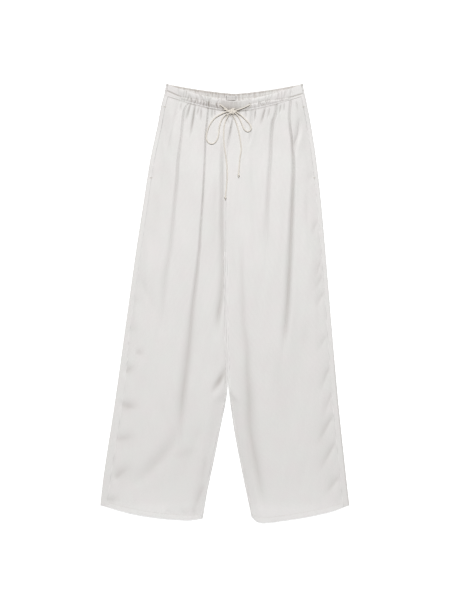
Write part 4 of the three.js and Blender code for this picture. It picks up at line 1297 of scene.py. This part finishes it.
# colour of the painted shade in creases and at edges
PAINTED_SHADE_TINT = (0.62, 0.575, 0.53)  # the dark stripe's colour is times this where shade is 1
DRIFT = (0.973, 0.995, 0.981, 1), (1.0, 0.956, 0.972, 1)


def satin(name, dark, light, pitch=STRIPE):
    """Satin with fine stripes woven along the leg, with painted shade and highlight where the mesh's shade attribute
    says.
    """
    sheen = {"Sheen_Weight": 0.15, "Sheen_Roughness": 0.4}
    mat = material(name, Roughness=0.48, Specular_IOR_Level=0.5, **sheen)
    uv = add(mat, "UVMap", {}, uv_map="UVMap")["UV"]
    across = add(mat, "SeparateXYZ", {0: uv})["X"]
    turns = {0: across, 1: 2 * math.pi / (pitch * MM)}
    turn = add(mat, "Math", turns, operation="MULTIPLY")[0]
    wave = add(mat, "Math", {0: turn}, operation="SINE")[0]
    stripe = add(mat, "MapRange", {"From Min": -1, "From Max": 1, "Value": wave})["Result"]
    colour = blend(mat, stripe, (*dark, 1), (*light, 1))
    # painted shade deepens the tone in creases, and a painted highlight lightens what catches the light: its shade is
    # below 0
    shade = add(mat, "Attribute", {}, attribute_name="shade")["Fac"]
    deep = [a * b for a, b in zip(PAINTED_SHADE_TINT, dark)]
    colour = blend(mat, shade, colour, (*deep, 1), clamp_factor=False)
    # the tint drifts a little over the cloth
    tint = blend(mat, noise_of(mat, 26, 2), *DRIFT)
    colour = blend(mat, 1, colour, tint, blend_type="MULTIPLY")
    return surface(mat, colour, noise_of(mat, 900, 3), 0.12)


def yarn(name, colour, scale):
    mat = material(name, Roughness=0.75, Specular_IOR_Level=0.25)
    fibre = noise_of(mat, scale, 4)
    mixed = blend(mat, fibre, (*[c * 0.9 for c in colour], 1), (*colour, 1))
    return surface(mat, mixed, fibre, 0.3)


# The camera and light
PIXEL = 2.4  # millimetres of the garment in one pixel of the frame
FRAME_TALL = 600  # pixels; this longer side takes the sensor's width
CENTRE = (0.25, 2.75)  # the middle of the frame, in pixels from the origin
CAMERA_OVER = 6  # the height that the distance to the camera is measured from
WORLD_LIGHT = 0.22
FLOOR = {"reach": 6, "colour": 0.6, "glow": 0.62}
# Size is in degrees or metres. Both lean from the waist's end.
LIGHTS = rows(
    "name kind power size place",
    ("key", "SUN", 2.1, 9, (-0.02, 0.45, 1.0)),
    ("top", "AREA", 60, 1.0, (-0.2, 1.9, 4.2)),
)


def add_object(name, data):
    obj = bpy.data.objects.new(name, data)
    bpy.context.scene.collection.objects.link(obj)
    return obj


def look():
    scene = bpy.context.scene
    lens = bpy.data.cameras.new("camera")
    lens.lens = 85
    lens.sensor_width = 36
    scene.camera = add_object("camera", lens)
    far = FRAME_TALL * PIXEL * MM * lens.lens / lens.sensor_width + CAMERA_OVER * MM
    scene.camera.location = (CENTRE[0] * PIXEL * MM, CENTRE[1] * PIXEL * MM, far)
    scene.view_settings.view_transform = "Standard"
    world = bpy.data.worlds.new("world")
    world.use_nodes = True
    background = world.node_tree.nodes["Background"].inputs
    background["Color"].default_value = (1, 1, 1, 1)
    background["Strength"].default_value = WORLD_LIGHT
    scene.world = world
    for row in LIGHTS:
        data = bpy.data.lights.new(row["name"], row["kind"])
        data.energy = row["power"]
        if row["kind"] == "SUN":
            data.angle = math.radians(row["size"])
        else:
            data.size = row["size"]
        light = add_object(row["name"], data)
        light.location = row["place"]
        light.rotation_euler = (-Vector(row["place"])).to_track_quat("-Z", "Y").to_euler()
    glow = {"Emission_Color": (1, 1, 1, 1), "Emission_Strength": FLOOR["glow"]}
    grey = (*[FLOOR["colour"]] * 3, 1)
    mat = material("floor", Base_Color=grey, Roughness=0.9, Specular_IOR_Level=0.1, **glow)
    plane = bpy.data.meshes.new("floor")
    a = FLOOR["reach"]
    plane.from_pydata([(-a, -a, 0), (a, -a, 0), (a, a, 0), (-a, a, 0)], [], [(0, 1, 2, 3)])
    plane.materials.append(mat)
    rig.stage(add_object("floor", plane))


look()
cloth = satin("satin", (0.512, 0.506, 0.495), (0.85, 0.84, 0.822))
inner_cloth = satin("satin_inside", (0.59, 0.58, 0.565), (0.71, 0.70, 0.68))
cord_yarn = yarn("drawstring", (0.77, 0.72, 0.65), 1500)
thread = yarn("thread", (0.62, 0.59, 0.55), 3000)
dark_thread = yarn("dark_thread", (0.22, 0.2, 0.185), 3000)
label_cloth = satin("label", (0.44, 0.43, 0.41), (0.56, 0.55, 0.53), 1.1)

fronts, backs = [], []
for side in SIDES:
    fronts.append(dress(front_panel(side), f"front_panel_{side}", "satin", cloth))
    backs.append(dress(back_panel(side), f"back_panel_{side}", "satin", cloth))
band = dress(front_band(), "waistband_front", "satin", cloth)
rear_band = dress(back_band(), "waistband_back", "satin", cloth)
# its inside shows at the back of the waist
rear_band.data.materials.append(inner_cloth)
half = len(rear_band.data.vertices) // 2
is_inside = [int(min(f.vertices) >= half) for f in rear_band.data.polygons]
rear_band.data.polygons.foreach_set("material_index", is_inside)
top_face = face_of([*fronts, *backs, band])
foot_face = face_of(backs, below=True)
rear_face = face_of([rear_band])


def sew(*args, **kwargs):
    """Dresses a row of stitches, which stands for no node."""
    return dress(stitches(*args, **kwargs), None, "thread", thread)


sewn = {}
for side in SIDES:
    hem = sew(f"hem_stitches_{side}", [hem_row(side, False)], top_face)
    under_name = f"hem_stitches_under_{side}"
    sewn[f"back_{side}"] = [sew(under_name, [hem_row(side, True)], foot_face, way=-1)]
    ends = tack_rows(side, POCKET["top"] - POCKET["mouth"]) + tack_rows(side, POCKET["top"] - 8)
    tacks = sew(f"bar_tacks_{side}", ends, top_face, long=6.2, gap=0.2, radius=0.3)
    sewn[f"front_{side}"] = [hem, tacks]
# between the buttonholes, and behind the label, no stitches show
seams = [band_row(-0.965, -0.21, False), band_row(0.21, 0.965, False)]
band_seam = sew("band_stitches", seams, top_face)
seams = [band_row(-0.45, -0.13, True), band_row(0.05, 0.45, True)]
rear_seam = sew("band_stitches_inside", seams, rear_face)
label = dress(waist_label(rear_face), "waist_label", "label", label_cloth)
label_face = face_of([label])
label_seam = stitches("label_stitches", label_rows(), label_face, long=2.4, gap=0.2, radius=0.42)
dress(label_seam, None, "thread", dark_thread)
for side in SIDES:
    dress(buttonhole(side, top_face), f"buttonhole_{side}", "thread", thread)

for side, front, back in zip(SIDES, fronts, backs):
    with_front, with_back = sewn[f"front_{side}"], sewn[f"back_{side}"]
    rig.sheet(front, flat=(0.26, 1.02), held="laid", rests_on=[back.name], with_pieces=with_front)
    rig.sheet(back, flat=(0.30, 1.02), held="laid", rests_on=[], with_pieces=with_back)
on_rear = [rear_band.name]
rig.sheet(band, flat=(0.42, 0.028), held="gathered", rests_on=on_rear, with_pieces=[band_seam])
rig.sheet(rear_band, flat=(0.45, 0.029), held="gathered", rests_on=[], with_pieces=[rear_seam])
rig.sheet(label, flat=(0.025, 0.012), held="laid", rests_on=on_rear, with_pieces=[label_seam])

dress(bow_knot(), "bow_knot", "drawstring", cord_yarn)
for name, route in ROUTES.items():
    path = smooth_path(on_cloth(route), CORD_STEP)
    piece = tube_piece(name.replace("drawstring", "cord"), path)
    obj = dress(piece, name, "drawstring", cord_yarn)
    is_tail = name.endswith("tail")
    ends = []
    if is_tail:
        side = name.split("_")[1]
        ends = [dress(end_knot(side), f"end_knot_{side}", "drawstring", cord_yarn)]
    long = float(travelled(path)[-1]) * MM
    if long > SHORTEST_CORD:
        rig.cord(
            obj, exit=tuple(path[0] * MM), length=long, diameter=2 * CORD_R * MM,
            far_end="knot" if is_tail else "object", stiffness="limp", lay="loose",
            path=(path * MM).tolist(), with_pieces=ends,
        )

for node in ("pocket_bag_right", "pocket_bag_left"):
    mesh = frame["nodes"][node].data
    mesh.materials.clear()
    mesh.materials.append(inner_cloth)

json.dump(
    {"cad": [list(p) for p in cad_box], "visual": [list(p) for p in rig.bounds()]},
    open("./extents.json", "w"),
)
